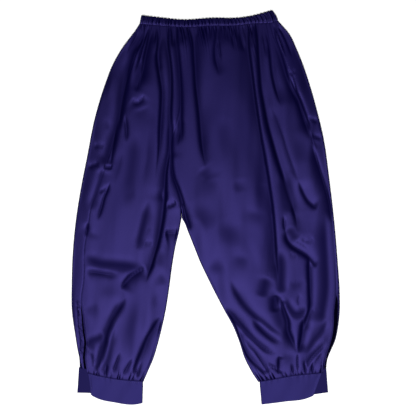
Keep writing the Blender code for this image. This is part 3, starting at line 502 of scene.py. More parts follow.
class TrouserSizes(bpy.types.PropertyGroup):
    """Sizes that a user would change."""

    cloth_thickness: FloatProperty(
        name="Cloth thickness", description="Thickness of the satin", default=0.0005, unit="LENGTH")
    front_columns: IntProperty(
        name="Front columns", description="Divisions across a front panel", default=230)
    back_columns: IntProperty(
        name="Back columns", description="Divisions round a back panel", default=140)
    panel_rows: IntProperty(
        name="Panel rows", description="Divisions down a panel", default=190)
    band_columns: IntProperty(
        name="Band columns", description="Divisions across the front of the waistband", default=520)
    waist_gather_spacing: FloatProperty(
        name="Waist gather spacing", description="From one pleat at the waistband to the next",
        default=0.0085, unit="LENGTH")
    waist_gather_height: FloatProperty(
        name="Waist gather height", description="Height of those pleats", default=0.0034, unit="LENGTH")
    cuff_gather_spacing: FloatProperty(
        name="Cuff gather spacing", description="From one pleat at a cuff to the next", default=0.0115,
        unit="LENGTH")
    cuff_gather_height: FloatProperty(
        name="Cuff gather height", description="Height of those pleats", default=0.0042, unit="LENGTH")
    band_ripples: IntProperty(
        name="Band ripples", description="Shirring ripples across the front of the waistband", default=38)
    band_ripple_height: FloatProperty(
        name="Band ripple height", description="Height of the shirring", default=0.0017, unit="LENGTH")
    stitch_length: FloatProperty(
        name="Stitch length", description="Length of one stitch", default=0.0022, unit="LENGTH")
    stitch_width: FloatProperty(
        name="Stitch width", description="Thickness of the sewing thread", default=0.00045, unit="LENGTH")


class TrouserColours(bpy.types.PropertyGroup):
    """Colours that a user would change."""

    satin: FloatVectorProperty(
        name="Satin", description="Shiny side of the cloth", subtype="COLOR",
        default=(0.0003, 0.0001, 0.016))
    satin_deep: FloatVectorProperty(
        name="Satin, deep", description="Darker streaks of the cloth", subtype="COLOR",
        default=(0.0002, 0.0001, 0.012))
    gloss: FloatVectorProperty(
        name="Gloss", description="Colour that the satin's gloss takes on", subtype="COLOR",
        default=(0.196, 0.152, 0.73))
    cuff_gloss: FloatVectorProperty(
        name="Cuff gloss", description="Colour that the cuffs' gloss takes on", subtype="COLOR",
        default=(0.182, 0.150, 0.75))
    inside_gloss: FloatVectorProperty(
        name="Inside gloss", description="Colour of the dull side's faint gloss", subtype="COLOR",
        default=(0.105, 0.086, 0.43))
    # Partly the satin's dull reverse and partly painted shade: made nearly black so the inside seen through
    # the side openings looks shaded
    painted_shade_and_wrong_side: FloatVectorProperty(
        name="Wrong side", description="Dull side of the cloth", subtype="COLOR",
        default=(0.0006, 0.0004, 0.004))
    cuff: FloatVectorProperty(
        name="Cuff", description="Cuffs, which lie smooth", subtype="COLOR", default=(0.0016, 0.001, 0.016))
    thread: FloatVectorProperty(
        name="Thread", description="Sewing thread", subtype="COLOR", default=(0.022, 0.016, 0.12))
    paper: FloatVectorProperty(
        name="Floor", description="Pale surface the garment lies on", subtype="COLOR",
        default=(0.90, 0.90, 0.90))


def sizes():
    return bpy.context.scene.trouser_sizes


def colours():
    return bpy.context.scene.trouser_colours


def smooth(table, at):
    """Reads a curve drawn through a short table of stations."""
    stations = np.array([row[0] for row in table], float)
    values = np.array([row[1] for row in table], float)
    slopes = np.gradient(values, stations)
    at = np.clip(np.asarray(at, float), stations[0], stations[-1])
    cell = np.clip(np.searchsorted(stations, at, side="right") - 1, 0, len(stations) - 2)
    span = stations[cell + 1] - stations[cell]
    t = (at - stations[cell]) / span
    rise = 3 * t**2 - 2 * t**3
    start_pull = (t**3 - 2 * t**2 + t) * span * slopes[cell]
    end_pull = (t**3 - t**2) * span * slopes[cell + 1]
    return values[cell] * (1 - rise) + values[cell + 1] * rise + start_pull + end_pull


def ease(value, low, high):
    """0 at low, 1 at high, level at both ends."""
    t = np.clip((value - low) / (high - low), 0, 1)
    return t * t * (3 - 2 * t)


def blend(first, second, share):
    """From the first value to the second by a share."""
    return first * (1 - share) + second * share


def scatter(index, seed):
    """A fixed uneven number from 0 to 1 for each whole number."""
    wave = np.sin(index * SCATTER_STEP + seed * SCATTER_SEED) * SCATTER_SCALE
    return wave - np.floor(wave)


def fold_line(points):
    """The fold's line as many short steps, with the share of its length at each."""
    knots = np.array(points, float)
    count = np.arange(len(knots))
    at = np.linspace(0, len(knots) - 1, FOLD_STEPS)
    across = smooth(list(zip(count, knots[:, 0])), at)
    drop = smooth(list(zip(count, knots[:, 1])), at)
    return across, drop, at / at[-1]


def fold_place(across, drop, row):
    """Distance from a fold's line, distance to its right, and how strong the fold is there."""
    rise, fade, points = row[3:]
    line_across, line_drop, line_share = fold_line(points)
    nearest = np.full(across.shape, np.inf)
    beside = np.zeros_like(across)
    share = np.zeros_like(across)
    for k in range(FOLD_STEPS - 1):
        step_across = line_across[k + 1] - line_across[k]
        step_drop = line_drop[k + 1] - line_drop[k]
        step = math.hypot(step_across, step_drop)
        along = ((across - line_across[k]) * step_across + (drop - line_drop[k]) * step_drop) / step**2
        along = np.clip(along, 0, 1)
        off_across = across - line_across[k] - along * step_across
        off_drop = drop - line_drop[k] - along * step_drop
        distance = np.hypot(off_across, off_drop)
        closer = distance < nearest
        turn = off_across * step_drop - off_drop * step_across
        nearest = np.where(closer, distance, nearest)
        beside = np.where(closer, turn / step, beside)
        share = np.where(closer, blend(line_share[k], line_share[k + 1], along), share)
    return nearest, beside, ease(share, FOLD_START, rise) * (1 - ease(share, 1 - fade, 1))


def one_fold(across, drop, row):
    """Height of one fold and how dark its crease is, at places near it."""
    height, wide_left, wide_right = row[:3]
    nearest, beside, strength = fold_place(across, drop, row)
    width = blend(wide_left, wide_right, ease(beside, -FLANK_BLEND, FLANK_BLEND))
    roundness = ease(min(wide_left, wide_right), CREASE_WIDTH, ROUND_WIDTH) if height < 0 else 1.0
    sharpness = blend(CREASE_SHARPNESS, ROUND_SHARPNESS, roundness)
    depth = height * blend(1, ROUND_DEPTH, roundness) * strength
    deep = np.clip(-height / DEEP_FOLD, 0, 1)
    shade_reach = blend(CREASE_REACH * (1 + deep), ROUND_REACH * width, roundness)
    shade = deep * strength * np.exp(-((nearest / shade_reach) ** 2))
    return depth * np.exp(-((nearest / width) ** sharpness)), shade


def relief(across, drop):
    """Height of all the folds at each place, and how deep in a crease it lies, from 0 to 1."""
    creases = np.zeros_like(across)
    ridges = np.zeros_like(across)
    valleys = np.zeros_like(across)
    for row in FOLDS:
        knots = np.array(row[5], float)
        reach = FOLD_REACH * max(row[1], row[2])
        low = knots.min(axis=0) - reach
        high = knots.max(axis=0) + reach
        near = (across > low[0]) & (across < high[0]) & (drop > low[1]) & (drop < high[1])
        if near.any():
            fold, crease = one_fold(across[near], drop[near], row)
            creases[near] = np.maximum(creases[near], crease)
            ridges[near] += np.maximum(fold, 0)
            valleys[near] += np.maximum(-fold, 0) ** VALLEY_CROWDING
    return ridges - valleys ** (1 / VALLEY_CROWDING), creases


def drift(across, drop):
    """Long faint waves that come and go."""
    total = np.zeros_like(across)
    for height, wide, long, phase in DRIFTS:
        swell = 0.5 + 0.5 * np.sin(across / SWELL_ACROSS + drop / SWELL_DOWN + phase * 2)
        total += height * swell * np.sin(2 * math.pi * (across / wide + drop / long) + phase)
    return total


def edge_distance(across, drop):
    """How far a place lies inside the garment's outline."""
    inside = np.minimum(across - smooth(LEFT_OUTER, drop), smooth(RIGHT_OUTER, drop) - across)
    left_leg = smooth(LEFT_INNER, drop) - across
    right_leg = across - smooth(RIGHT_INNER, drop)
    leg = np.maximum(left_leg, right_leg)
    below = np.maximum(CROTCH_DROP - drop, 0)
    leg = np.where(drop > CROTCH_DROP, leg, np.hypot(below, across - CROTCH_ACROSS))
    return np.maximum(np.minimum(inside, leg), 0)


def seam_dip(across, drop):
    """The small groove along a seam, puckered by its stitches."""
    total = np.zeros_like(across)
    for table in (LEFT_SEAM, RIGHT_SEAM, CENTRE_FRONT):
        distance = np.abs(across - smooth(table, drop))
        reached = (drop > table[0][0]) & (drop < table[-1][0])
        waves = np.sin(drop / PUCKER_LENGTH + 2 * np.sin(drop / PUCKER_DRIFT))
        pucker = 1 - PUCKER_SHARE + PUCKER_SHARE * waves
        total -= np.where(reached, SEAM_DIP * pucker * np.exp(-((distance / SEAM_DIP_WIDTH) ** 2)), 0)
    return total


def top_height(across, drop, band_distance, cuff_distance, pleats=0.0):
    """Height of the front's cloth: low at its borders, lofted between, with the folds and pleats in it."""
    distance = edge_distance(across, drop)
    border = np.minimum(band_distance, cuff_distance)
    loft = PUFF * ease(np.minimum(distance, border * LOFT_AT_GATHERS), LOFT_START, PUFF_REACH)
    fade = ease(distance, 0, FADE_REACH) * ease(cuff_distance, FADE_AT_CUFF, FADE_REACH)
    fade = fade * ease(band_distance, FADE_AT_BAND, FADE_END_AT_BAND)
    detail = relief(across, drop)[0] + drift(across, drop) + seam_dip(across, drop)
    height = EDGE_HEIGHT + loft + detail * fade + pleats
    lowest = blend(LOWEST, LOWEST_AT_CUFF, ease(cuff_distance, CUFF_LIFT_START, CUFF_LIFT_END))
    return lowest + np.logaddexp(0, (height - lowest) * TOUCH_SHARPNESS) / TOUCH_SHARPNESS


class Leg:
    """One half of the trousers. side is -1 for the left and 1 for the right."""

    def __init__(self, side, outer, inner, seam, opening, gather, back_gather):
        self.side = side
        self.outer = outer
        self.inner = inner
        self.seam = seam
        self.opening = opening
        self.gather = gather
        self.back_gather = back_gather

    def row_drop(self, across, v, behind):
        """Drop of row v: 0 runs along the waistband and 1 along the cuff."""
        top = smooth(BAND_BOTTOM, across) + SEAM_GAP
        bottom = smooth(self.gather, across) - SEAM_GAP
        if behind:
            lower = smooth(self.back_gather, across) - SEAM_GAP
            bottom = blend(bottom, lower, ease(v, SLIT_SHARE, 1))
        return blend(top, bottom, v)

    def meet(self, table, v, behind):
        """Where row v meets a long edge."""
        across = np.full_like(v, table[len(table) // 2][1])
        for _ in range(SETTLE_ROUNDS):
            across = smooth(table, self.row_drop(across, v, behind))
        return across

    def curl(self, v, behind):
        """How far the inner edge has turned under: 0 on the centre seam, 1 from the crotch down."""
        drop = self.row_drop(np.full_like(v, CROTCH_ACROSS), v, behind)
        return ease(drop, CROTCH_DROP - PINCH_LENGTH, CROTCH_DROP)

    def inner_line(self, v, behind):
        """Middle of the wall's edge: along the centre seam, then the leg's inner outline."""
        seam = self.meet(CENTRE_FRONT, v, behind)
        leg = self.meet(self.inner, v, behind)
        drop = self.row_drop(seam, v, behind)
        line = np.where(drop < CROTCH_DROP, seam, leg)
        return line + self.side * blend(SEAM_GAP / 2, WALL / 2, self.curl(v, behind))

    def distances(self, across, drop):
        """How far a place lies below the waistband and above the cuff."""
        band = drop - smooth(BAND_BOTTOM, across)
        cuff = smooth(self.gather, across) - drop
        return band, cuff

    def height(self, across, drop, pleats=0.0):
        band, cuff = self.distances(across, drop)
        return top_height(across, drop, band, cuff, pleats)

    def front(self, u, v):
        """Front panel: u is 0 at the side seam, 1 where the inner edge starts to turn, 2 at its end."""
        seam = self.meet(self.seam, v, False) - self.side * SEAM_GAP / 2
        edge = self.inner_line(v, False)
        curl = self.curl(v, False)
        flat = np.clip(u, 0, 1)
        turn = np.clip(u - 1, 0, 1)
        angle = turn * math.pi / 2
        inset = blend(1 - turn, 1 - np.sin(angle), curl)
        across = blend(seam, edge + self.side * EDGE_ROUND * inset, flat)
        drop = self.row_drop(across, v, False)
        top = self.height(across, drop, self.gathers(flat, across, drop))
        middle = (self.height(edge, self.row_drop(edge, v, False)) + FLOOR) / 2 + SEAM_GAP / 2
        height = top - curl * (top - middle) * (1 - np.cos(angle))
        return across, drop, height

    def gathers(self, u, across, drop):
        """Small pleats that start at the waistband and at the cuff, no two alike."""
        band, cuff = self.distances(across, drop)
        top = self.gather_count(0.0, sizes().waist_gather_spacing)
        bottom = self.gather_count(1.0, sizes().cuff_gather_spacing)
        waist = pleats(u, band, top, self.side, WAIST_PLEAT_REACH)
        ankle = pleats(u, cuff, bottom, self.side + 5, CUFF_PLEAT_REACH)
        return (waist * sizes().waist_gather_height + ankle * sizes().cuff_gather_height) / MM

    def gather_count(self, v, spacing):
        """How many pleats fit in row v of the front panel."""
        row = np.array([v])
        width = np.abs(self.meet(self.seam, row, False) - self.inner_line(row, False))
        return int(round(width[0] * MM / spacing))

    def back(self, u, v):
        """Back panel: from the side seam (0) to the outer edge (1), round it (2), across the floor (3) and
        up into the inner edge (4)."""
        seam = self.meet(self.seam, v, True)
        seam_drop = self.row_drop(seam, v, True)
        start = self.opening[0][0]
        gape = smooth(self.opening, seam_drop) * ease(seam_drop, start, start + OPENING_START)
        seam = seam + self.side * (SEAM_GAP / 2 + gape)
        outer = self.meet(self.outer, v, True) - self.side * WALL / 2
        edge = self.inner_line(v, True)
        curl = self.curl(v, True)
        bend_start = outer - self.side * EDGE_ROUND
        on_top = blend(seam, bend_start, np.clip(u, 0, 1))
        angle = np.clip(u - 1, 0, 1) * math.pi
        around = bend_start + self.side * EDGE_ROUND * np.sin(angle)
        turn = np.clip(u - 3, 0, 1)
        inset = blend(1 - turn, 1 - np.sin(turn * math.pi / 2), curl)
        below = blend(bend_start, edge + self.side * EDGE_ROUND * inset, np.clip(u - 2, 0, 1))
        across = np.where(u <= 1, on_top, np.where(u <= 2, around, below))
        drop = self.row_drop(across, v, True)
        drop_at_bend = self.row_drop(bend_start, v, True)
        hem = self.hem(np.abs(across - seam), drop)
        top = self.height(np.where(u <= 1, across, bend_start), np.where(u <= 1, drop, drop_at_bend),
                          np.where(u <= 1, hem, 0))
        half = (top - FLOOR) / 2
        middle = (self.height(edge, self.row_drop(edge, v, True)) + FLOOR) / 2 - SEAM_GAP / 2
        rising = FLOOR + curl * (middle - FLOOR) * (1 - np.cos(turn * math.pi / 2))
        height = np.where(u <= 2, FLOOR + half * (1 + np.cos(angle)), rising)
        return across, drop, height

    def hem(self, distance, drop):
        """Puckered turned hem along the opening's back edge."""
        start = self.opening[0][0]
        present = ease(drop, start - HEM_ABOVE, start + HEM_BELOW)
        ridge = ease(distance, HEM_WIDTH, HEM_FLAT_WIDTH) * HEM_HEIGHT
        ruck = np.sin(drop / RUCK_LENGTH + RUCK_UNEVENNESS * np.sin(drop / RUCK_DRIFT))
        ruck = ruck * np.exp(-(((distance - RUCK_LINE) / RUCK_WIDTH) ** 2))
        return present * (ridge + RUCK_HEIGHT * ruck)


def pleats(u, distance, count, seed, reaches):
    """Rounded pleats between the ends of a gathered edge, each with its own height and reach."""
    shifted = u
    for share, waves, seed_share in PLEAT_UNEVENNESS:
        shifted = shifted + share / count * np.sin(2 * math.pi * u * waves + seed_share * seed)
    cell = np.floor(shifted * count)
    within = shifted * count - cell
    height = PLEAT_LEAST + PLEAT_SPREAD * scatter(cell, seed)
    reach = blend(reaches[0], reaches[1], scatter(cell, seed + 3) ** 2)
    crown = np.abs(np.sin(math.pi * within)) ** PLEAT_CROWN - PLEAT_NOTCH
    return between_ends(u) * height * crown * np.exp(-((np.maximum(distance, 0) / reach) ** PLEAT_FADE))


def between_ends(u):
    """1 along a gathered edge, and 0 at its two ends."""
    return ease(u, 0, PLEAT_MARGIN) * (1 - ease(u, 1 - PLEAT_MARGIN, 1))


LEFT_LEG = Leg(-1, LEFT_OUTER, LEFT_INNER, LEFT_SEAM, LEFT_OPENING, LEFT_GATHER, LEFT_BACK_GATHER)
RIGHT_LEG = Leg(1, RIGHT_OUTER, RIGHT_INNER, RIGHT_SEAM, RIGHT_OPENING, RIGHT_GATHER, RIGHT_BACK_GATHER)
LEGS = {"left": LEFT_LEG, "right": RIGHT_LEG}


def cuff_surface(plan):
    """A strip folded round the ankle: front layer (0 to 1), inner bend (2), back layer (3)."""
    side = plan["side"]

    def edges(u, v, end, top, bottom):
        drop = np.full_like(v, CUFF_MIDDLE_DROP)
        for _ in range(CUFF_SETTLE_ROUNDS):
            inner = smooth(plan["inner_end"], drop) + side * (CUFF_WALL / 2 + CUFF_ROUND)
            across = blend(smooth(end, drop), inner, u)
            drop = blend(smooth(top, across) + SEAM_GAP, smooth(bottom, across), v)
        return across, drop

    def surface(u, v):
        front_across, front_drop = edges(np.clip(u, 0, 1), v, plan["front_end"], plan["front_top"],
                                         plan["front_bottom"])
        back_across, back_drop = edges(1 - np.clip(u - 2, 0, 1), v, plan["back_end"], plan["back_top"],
                                       plan["back_bottom"])
        turn = np.clip(u - 1, 0, 1)
        angle = turn * math.pi
        round_across = blend(front_across, back_across, turn) - side * CUFF_ROUND * np.sin(angle)
        across = np.where(u <= 1, front_across, np.where(u <= 2, round_across, back_across))
        drop = np.where(u <= 1, front_drop, np.where(u <= 2, blend(front_drop, back_drop, turn), back_drop))
        height = CUFF_BACK + (CUFF_FRONT - CUFF_BACK) * (1 + np.cos(angle)) / 2
        wave = CUFF_WAVE * np.sin(across / CUFF_WAVE_ACROSS + side) * np.sin(drop / CUFF_WAVE_DOWN)
        wave = wave + CUFF_RUMPLE * np.sin(across / CUFF_RUMPLE_ACROSS + drop / CUFF_RUMPLE_DOWN)
        tucks = CUFF_TUCK * np.sin(across / CUFF_TUCK_LENGTH + 2 * np.sin(across / CUFF_TUCK_DRIFT))
        tucks = tucks * np.exp(-v * CUFF_TUCK_FADE)
        height = height + np.where(u <= 1, wave + tucks, 0) * ease(u, 0, END_MARGIN)
        return across, drop, height

    return surface


def band_surface(u, v):
    """Waistband casing: front from left to right (0 to 1), right bend (2), back (3), left bend (4)."""
    left_end = smooth(BAND_LEFT_END, v) + BAND_WALL / 2 + BAND_ROUND
    right_end = smooth(BAND_RIGHT_END, v) - BAND_WALL / 2 - BAND_ROUND
    front = np.clip(u, 0, 1)
    back = 1 - np.clip(u - 2, 0, 1)
    right_turn = np.clip(u - 1, 0, 1) * math.pi
    left_turn = np.clip(u - 3, 0, 1) * math.pi
    across = np.where(u <= 1, blend(left_end, right_end, front), blend(left_end, right_end, back))
    across = np.where((u > 1) & (u <= 2), right_end + BAND_ROUND * np.sin(right_turn), across)
    across = np.where(u > 3, left_end - BAND_ROUND * np.sin(left_turn), across)
    scallop = BAND_SCALLOP * np.sin(2 * math.pi * sizes().band_ripples * u) * ease(u, 0, END_MARGIN)
    scallop = np.where(u <= 1, scallop, 0)
    drop = blend(smooth(BAND_TOP, across) + scallop, smooth(BAND_BOTTOM, across), v)
    share = np.where(u <= 2, (1 + np.cos(right_turn)) / 2, (1 - np.cos(left_turn)) / 2)
    height = blend(BAND_BACK, BAND_FRONT, share)
    return across, drop, height


def band_ripple(u, v):
    """Shirring of the casing, held down along its two rows of stitches."""
    count = sizes().band_ripples
    ripples = pleats(np.clip(u, 0, 1), np.zeros_like(u), count, BAND_PLEAT_SEED, WAIST_PLEAT_REACH)
    uneven = BAND_FINE_UNEVENNESS * np.sin(BAND_FINE_DRIFT * u)
    fine = BAND_FINE * np.sin(2 * math.pi * u * count * BAND_FINE_RATE + uneven)
    held = 1
    for share, line in CASING_ROWS:
        held = held - share * np.exp(-(((v - line) / CASING_ROW_WIDTH) ** 2))
    crown = blend(BAND_AT_EDGE, 1, np.sin(math.pi * np.clip(v, 0, 1)) ** BAND_CROWN)
    return (u <= 1) * between_ends(u) * held * crown * (ripples + fine) * sizes().band_ripple_height / MM


def band_face(u, v):
    """Points of the casing's outer side in metres, with their directions outwards."""
    points = world(*band_surface(u, v))
    normals = surface_normal(band_surface, u, v, (0.0, 4.0))
    outward = np.where(band_side(u)[:, None] * normals[:, 2:3] < 0, -normals, normals)
    edge = np.sin(math.pi * v) ** BAND_EDGE_ROUND
    rise = (BAND_WALL / 2 - BAND_FACE_INSET) * edge + band_ripple(u, v)
    return points + outward * rise[:, None] * MM, outward


def band_side(u):
    """1 where the casing faces up and -1 where it faces the floor. It turns in the middle of each bend."""
    return np.where((u < 1.5) | (u > 3.5), 1.0, -1.0)


def world(across, drop, height):
    """Points in metres in the frame that the solids share."""
    return np.stack([across, LENGTH / 2 - drop, height], axis=-1) * MM


def surface_normal(surface, u, v, u_span):
    """Direction square to a surface, on the side that shows."""
    u_low = np.maximum(u - NORMAL_STEP, u_span[0])
    u_high = np.minimum(u + NORMAL_STEP, u_span[1])
    v_low = np.maximum(v - NORMAL_STEP, 0)
    v_high = np.minimum(v + NORMAL_STEP, 1)
    along = world(*surface(u_high, v)) - world(*surface(u_low, v))
    down = world(*surface(u, v_high)) - world(*surface(u, v_low))
    normal = np.cross(along, down)
    return normal / np.linalg.norm(normal, axis=-1, keepdims=True)


def stations(*stretches):
    """Turns shares from 0 to 1 into a surface's u. A stretch is its end in u and its number of columns."""
    ends = [0.0]
    columns = [0]
    for end, count in stretches:
        ends.append(end)
        columns.append(columns[-1] + count)
    return columns[-1], lambda share: np.interp(share * columns[-1], columns, ends)


def leave_nothing_selected():
    if bpy.context.object and bpy.context.object.mode != "OBJECT":
        bpy.ops.object.mode_set(mode="OBJECT")
    bpy.ops.object.select_all(action="DESELECT")


def flat_grid(name, columns, rows):
    """A plane of divisions to shape. Returns it with each vertex's share across and down."""
    leave_nothing_selected()
    bpy.ops.mesh.primitive_grid_add(x_subdivisions=columns, y_subdivisions=rows, size=1)
    piece = bpy.context.object
    piece.name = name
    piece.data.name = name
    places = np.empty(len(piece.data.vertices) * 3)
    piece.data.vertices.foreach_get("co", places)
    places = places.reshape(-1, 3)
    return piece, places[:, 0] + 0.5, 0.5 - places[:, 1]


def put_points(piece, points):
    """Moves a piece's vertices to these points in metres."""
    piece.data.vertices.foreach_set("co", points.ravel())
    piece.data.update()


def lay_uv(piece, u_metres, v_metres):
    """Lays the weave along the cloth: the map is in metres of flat cloth."""
    layer = piece.data.uv_layers[0]
    layer.name = "cloth"
    corners = np.empty(len(piece.data.loops), dtype=np.int32)
    piece.data.loops.foreach_get("vertex_index", corners)
    layer.data.foreach_set("uv", np.stack([u_metres[corners], v_metres[corners]], axis=-1).ravel())


def face_up(piece):
    """Turns the faces so that the shiny side is outwards."""
    bpy.context.view_layer.objects.active = piece
    bpy.ops.object.mode_set(mode="EDIT")
    bpy.ops.mesh.select_all(action="SELECT")
    bpy.ops.mesh.flip_normals()
    bpy.ops.object.mode_set(mode="OBJECT")


def thicken(piece, thickness):
    """Gives the cloth its thickness. The inner side takes the second material."""
    wall = piece.modifiers.new("Cloth", "SOLIDIFY")
    wall.thickness = thickness
    wall.offset = 0
    wall.use_rim = True
    wall.material_offset = 1
    wall.material_offset_rim = 0
    bpy.context.view_layer.objects.active = piece
    bpy.ops.object.modifier_apply(modifier=wall.name)
    bpy.ops.object.select_all(action="DESELECT")
    piece.select_set(True)
    bpy.ops.object.shade_smooth_by_angle(angle=math.radians(SMOOTH_ANGLE))


def mark_creases(piece, across, drop, leg):
    """Stores how deep in a crease or a gathered seam each vertex lies. The satin's gloss fades there."""
    band, cuff = leg.distances(across, drop)
    seams = np.exp(-((np.minimum(band, cuff) / SEAM_SHADE_REACH) ** 2))
    layer = piece.data.attributes.new("crease", "FLOAT", "POINT")
    layer.data.foreach_set("value", np.maximum(relief(across, drop)[1], seams).astype(np.float32))


def cloth_sheet(name, surface, stretches, rows, cut, outward_flip, materials, leg=None):
    """A sheet of satin on a surface, with the cut's width and length in metres for its weave."""
    columns, to_u = stations(*stretches)
    piece, share, v = flat_grid(name, columns, rows)
    u = to_u(share)
    across, drop, height = surface(u, v)
    put_points(piece, world(across, drop, height))
    lay_uv(piece, share * cut[0], v * cut[1])
    if leg:
        mark_creases(piece, across, drop, leg)
    if outward_flip:
        face_up(piece)
    for material in materials:
        piece.data.materials.append(material)
    thicken(piece, sizes().cloth_thickness)
    return piece


# Materials

def new_group(name, given, result):
    """An empty group of nodes, with its inputs' names, kinds and values, and its output's name and kind."""
    group = bpy.data.node_groups.new(name, "ShaderNodeTree")
    for label, kind, value in given:
        group.interface.new_socket(name=label, in_out="INPUT", socket_type=kind).default_value = value
    group.interface.new_socket(name=result[0], in_out="OUTPUT", socket_type=result[1])
    return group, group.nodes.new("NodeGroupInput"), group.nodes.new("NodeGroupOutput")


def noise_group(name, count_name, per_metre, squeeze, detail, roughness, distortion, on_cut):
    """Height from a noise that is drawn out down the cloth. It lies on the flat cut, or on the garment."""
    if name in bpy.data.node_groups:
        return bpy.data.node_groups[name]
    given = ((count_name, "NodeSocketFloat", per_metre),)
    group, entry, result = new_group(name, given, ("Height", "NodeSocketFloat"))
    nodes = group.nodes
    links = group.links
    if on_cut:
        place = nodes.new("ShaderNodeUVMap")
        place.uv_map = "cloth"
    else:
        place = nodes.new("ShaderNodeTexCoord")
    stretch = nodes.new("ShaderNodeMapping")
    stretch.inputs["Scale"].default_value = (1.0, squeeze, 1.0)
    noise = nodes.new("ShaderNodeTexNoise")
    noise.inputs["Detail"].default_value = detail
    noise.inputs["Roughness"].default_value = roughness
    noise.inputs["Distortion"].default_value = distortion
    links.new(place.outputs["UV" if on_cut else "Object"], stretch.inputs["Vector"])
    links.new(stretch.outputs["Vector"], noise.inputs["Vector"])
    links.new(entry.outputs[count_name], noise.inputs["Scale"])
    links.new(noise.outputs["Fac"], result.inputs["Height"])
    return group


def weave_group():
    """Height of the satin weave: long floats that run down the cloth, crossed by a fine slub."""
    return noise_group("Satin weave", "Floats per metre", per_metre=1900.0, squeeze=0.14, detail=3.0,
                       roughness=0.6, distortion=0.0, on_cut=True)


def crease_group():
    """Height of the faint creases that satin keeps, mostly along its length."""
    return noise_group("Satin creases", "Creases per metre", per_metre=26.0, squeeze=0.3, detail=2.5,
                       roughness=0.45, distortion=0.6, on_cut=False)


def streak_group():
    """Colour of the satin, with darker streaks and a little fading."""
    name = "Satin streaks"
    if name in bpy.data.node_groups:
        return bpy.data.node_groups[name]
    given = (
        ("Colour", "NodeSocketColor", (0.02, 0.014, 0.12, 1)),
        ("Deep colour", "NodeSocketColor", (0.013, 0.009, 0.09, 1)),
    )
    group, entry, result = new_group(name, given, ("Colour", "NodeSocketColor"))
    nodes = group.nodes
    links = group.links
    place = nodes.new("ShaderNodeTexCoord")
    stretch = nodes.new("ShaderNodeMapping")
    stretch.inputs["Scale"].default_value = (1.0, 0.35, 1.0)
    patches = nodes.new("ShaderNodeTexNoise")
    patches.inputs["Scale"].default_value = 11.0
    patches.inputs["Detail"].default_value = 4.0
    mask = nodes.new("ShaderNodeValToRGB")
    mask.color_ramp.elements[0].position = 0.35
    mask.color_ramp.elements[1].position = 0.7
    mix = nodes.new("ShaderNodeMix")
    mix.data_type = "RGBA"
    links.new(place.outputs["Object"], stretch.inputs["Vector"])
    links.new(stretch.outputs["Vector"], patches.inputs["Vector"])
    links.new(patches.outputs["Fac"], mask.inputs["Fac"])
    links.new(mask.outputs["Color"], mix.inputs["Factor"])
    links.new(entry.outputs["Deep colour"], mix.inputs["A"])
    links.new(entry.outputs["Colour"], mix.inputs["B"])
    links.new(mix.outputs["Result"], result.inputs["Colour"])
    return group


def gloss_group():
    """The satin's roughness: its own where it lies open, and dull in the bottom of a crease."""
    name = "Satin gloss"
    if name in bpy.data.node_groups:
        return bpy.data.node_groups[name]
    given = (("Open cloth", "NodeSocketFloat", 0.5),)
    group, entry, result = new_group(name, given, ("Roughness", "NodeSocketFloat"))
    mark = group.nodes.new("ShaderNodeAttribute")
    mark.attribute_name = "crease"
    dull = group.nodes.new("ShaderNodeMapRange")
    dull.inputs["To Max"].default_value = 0.82
    group.links.new(mark.outputs["Fac"], dull.inputs["Value"])
    group.links.new(entry.outputs["Open cloth"], dull.inputs["To Min"])
    group.links.new(dull.outputs["Result"], result.inputs["Roughness"])
    return group


def new_material(name):
    """A material, with its nodes, links and shader."""
    material = bpy.data.materials.new(name)
    material.use_nodes = True
    tree = material.node_tree
    return material, tree.nodes, tree.links, tree.nodes["Principled BSDF"]


def group_node(nodes, group):
    node = nodes.new("ShaderNodeGroup")
    node.node_tree = group
    return node


def bump_node(nodes, strength, distance):
    node = nodes.new("ShaderNodeBump")
    node.inputs["Strength"].default_value = strength
    node.inputs["Distance"].default_value = distance
    return node


def satin_material(name, colour, deep, gloss, roughness, creases):
    """Satin: a dark colour under a tinted gloss, over the weave and the faint creases of this height."""
    if name in bpy.data.materials:
        return bpy.data.materials[name]
    material, nodes, links, shader = new_material(name)
    shader.inputs["Specular IOR Level"].default_value = 0.6
    shader.inputs["Specular Tint"].default_value = (*gloss, 1)
    dullness = group_node(nodes, gloss_group())
    dullness.inputs["Open cloth"].default_value = roughness
    streaks = group_node(nodes, streak_group())
    streaks.inputs["Colour"].default_value = (*colour, 1)
    streaks.inputs["Deep colour"].default_value = (*deep, 1)
    weave = group_node(nodes, weave_group())
    crease = group_node(nodes, crease_group())
    soft = bump_node(nodes, 1.0, creases)
    fine = bump_node(nodes, 0.5, 0.00008)
    links.new(dullness.outputs["Roughness"], shader.inputs["Roughness"])
    links.new(streaks.outputs["Colour"], shader.inputs["Base Color"])
    links.new(crease.outputs["Height"], soft.inputs["Height"])
    links.new(weave.outputs["Height"], fine.inputs["Height"])
    links.new(soft.outputs["Normal"], fine.inputs["Normal"])
    links.new(fine.outputs["Normal"], shader.inputs["Normal"])
    return material


def shiny_side():
    shades = colours()
    return satin_material("satin_shiny_side", shades.satin, shades.satin_deep, shades.gloss, roughness=0.45,
                          creases=0.0004)


# Partly the dull reverse of the satin and partly painted shade: its near-black colour is used both as colour
# and as gloss, so the inside seen through the side openings looks shaded
def painted_shade_and_dull_side():
    shade = colours().painted_shade_and_wrong_side
    return satin_material("satin_dull_side", shade, shade, shade, roughness=0.75, creases=0.0004)


def cuff_side():
    shades = colours()
    return satin_material("cuff_shiny_side", shades.cuff, shades.satin, shades.cuff_gloss, roughness=0.52,
                          creases=0.0003)


def cuff_inside():
    shades = colours()
    return satin_material("cuff_inner_side", shades.satin_deep, shades.satin_deep, shades.inside_gloss,
                          roughness=0.55, creases=0.0003)


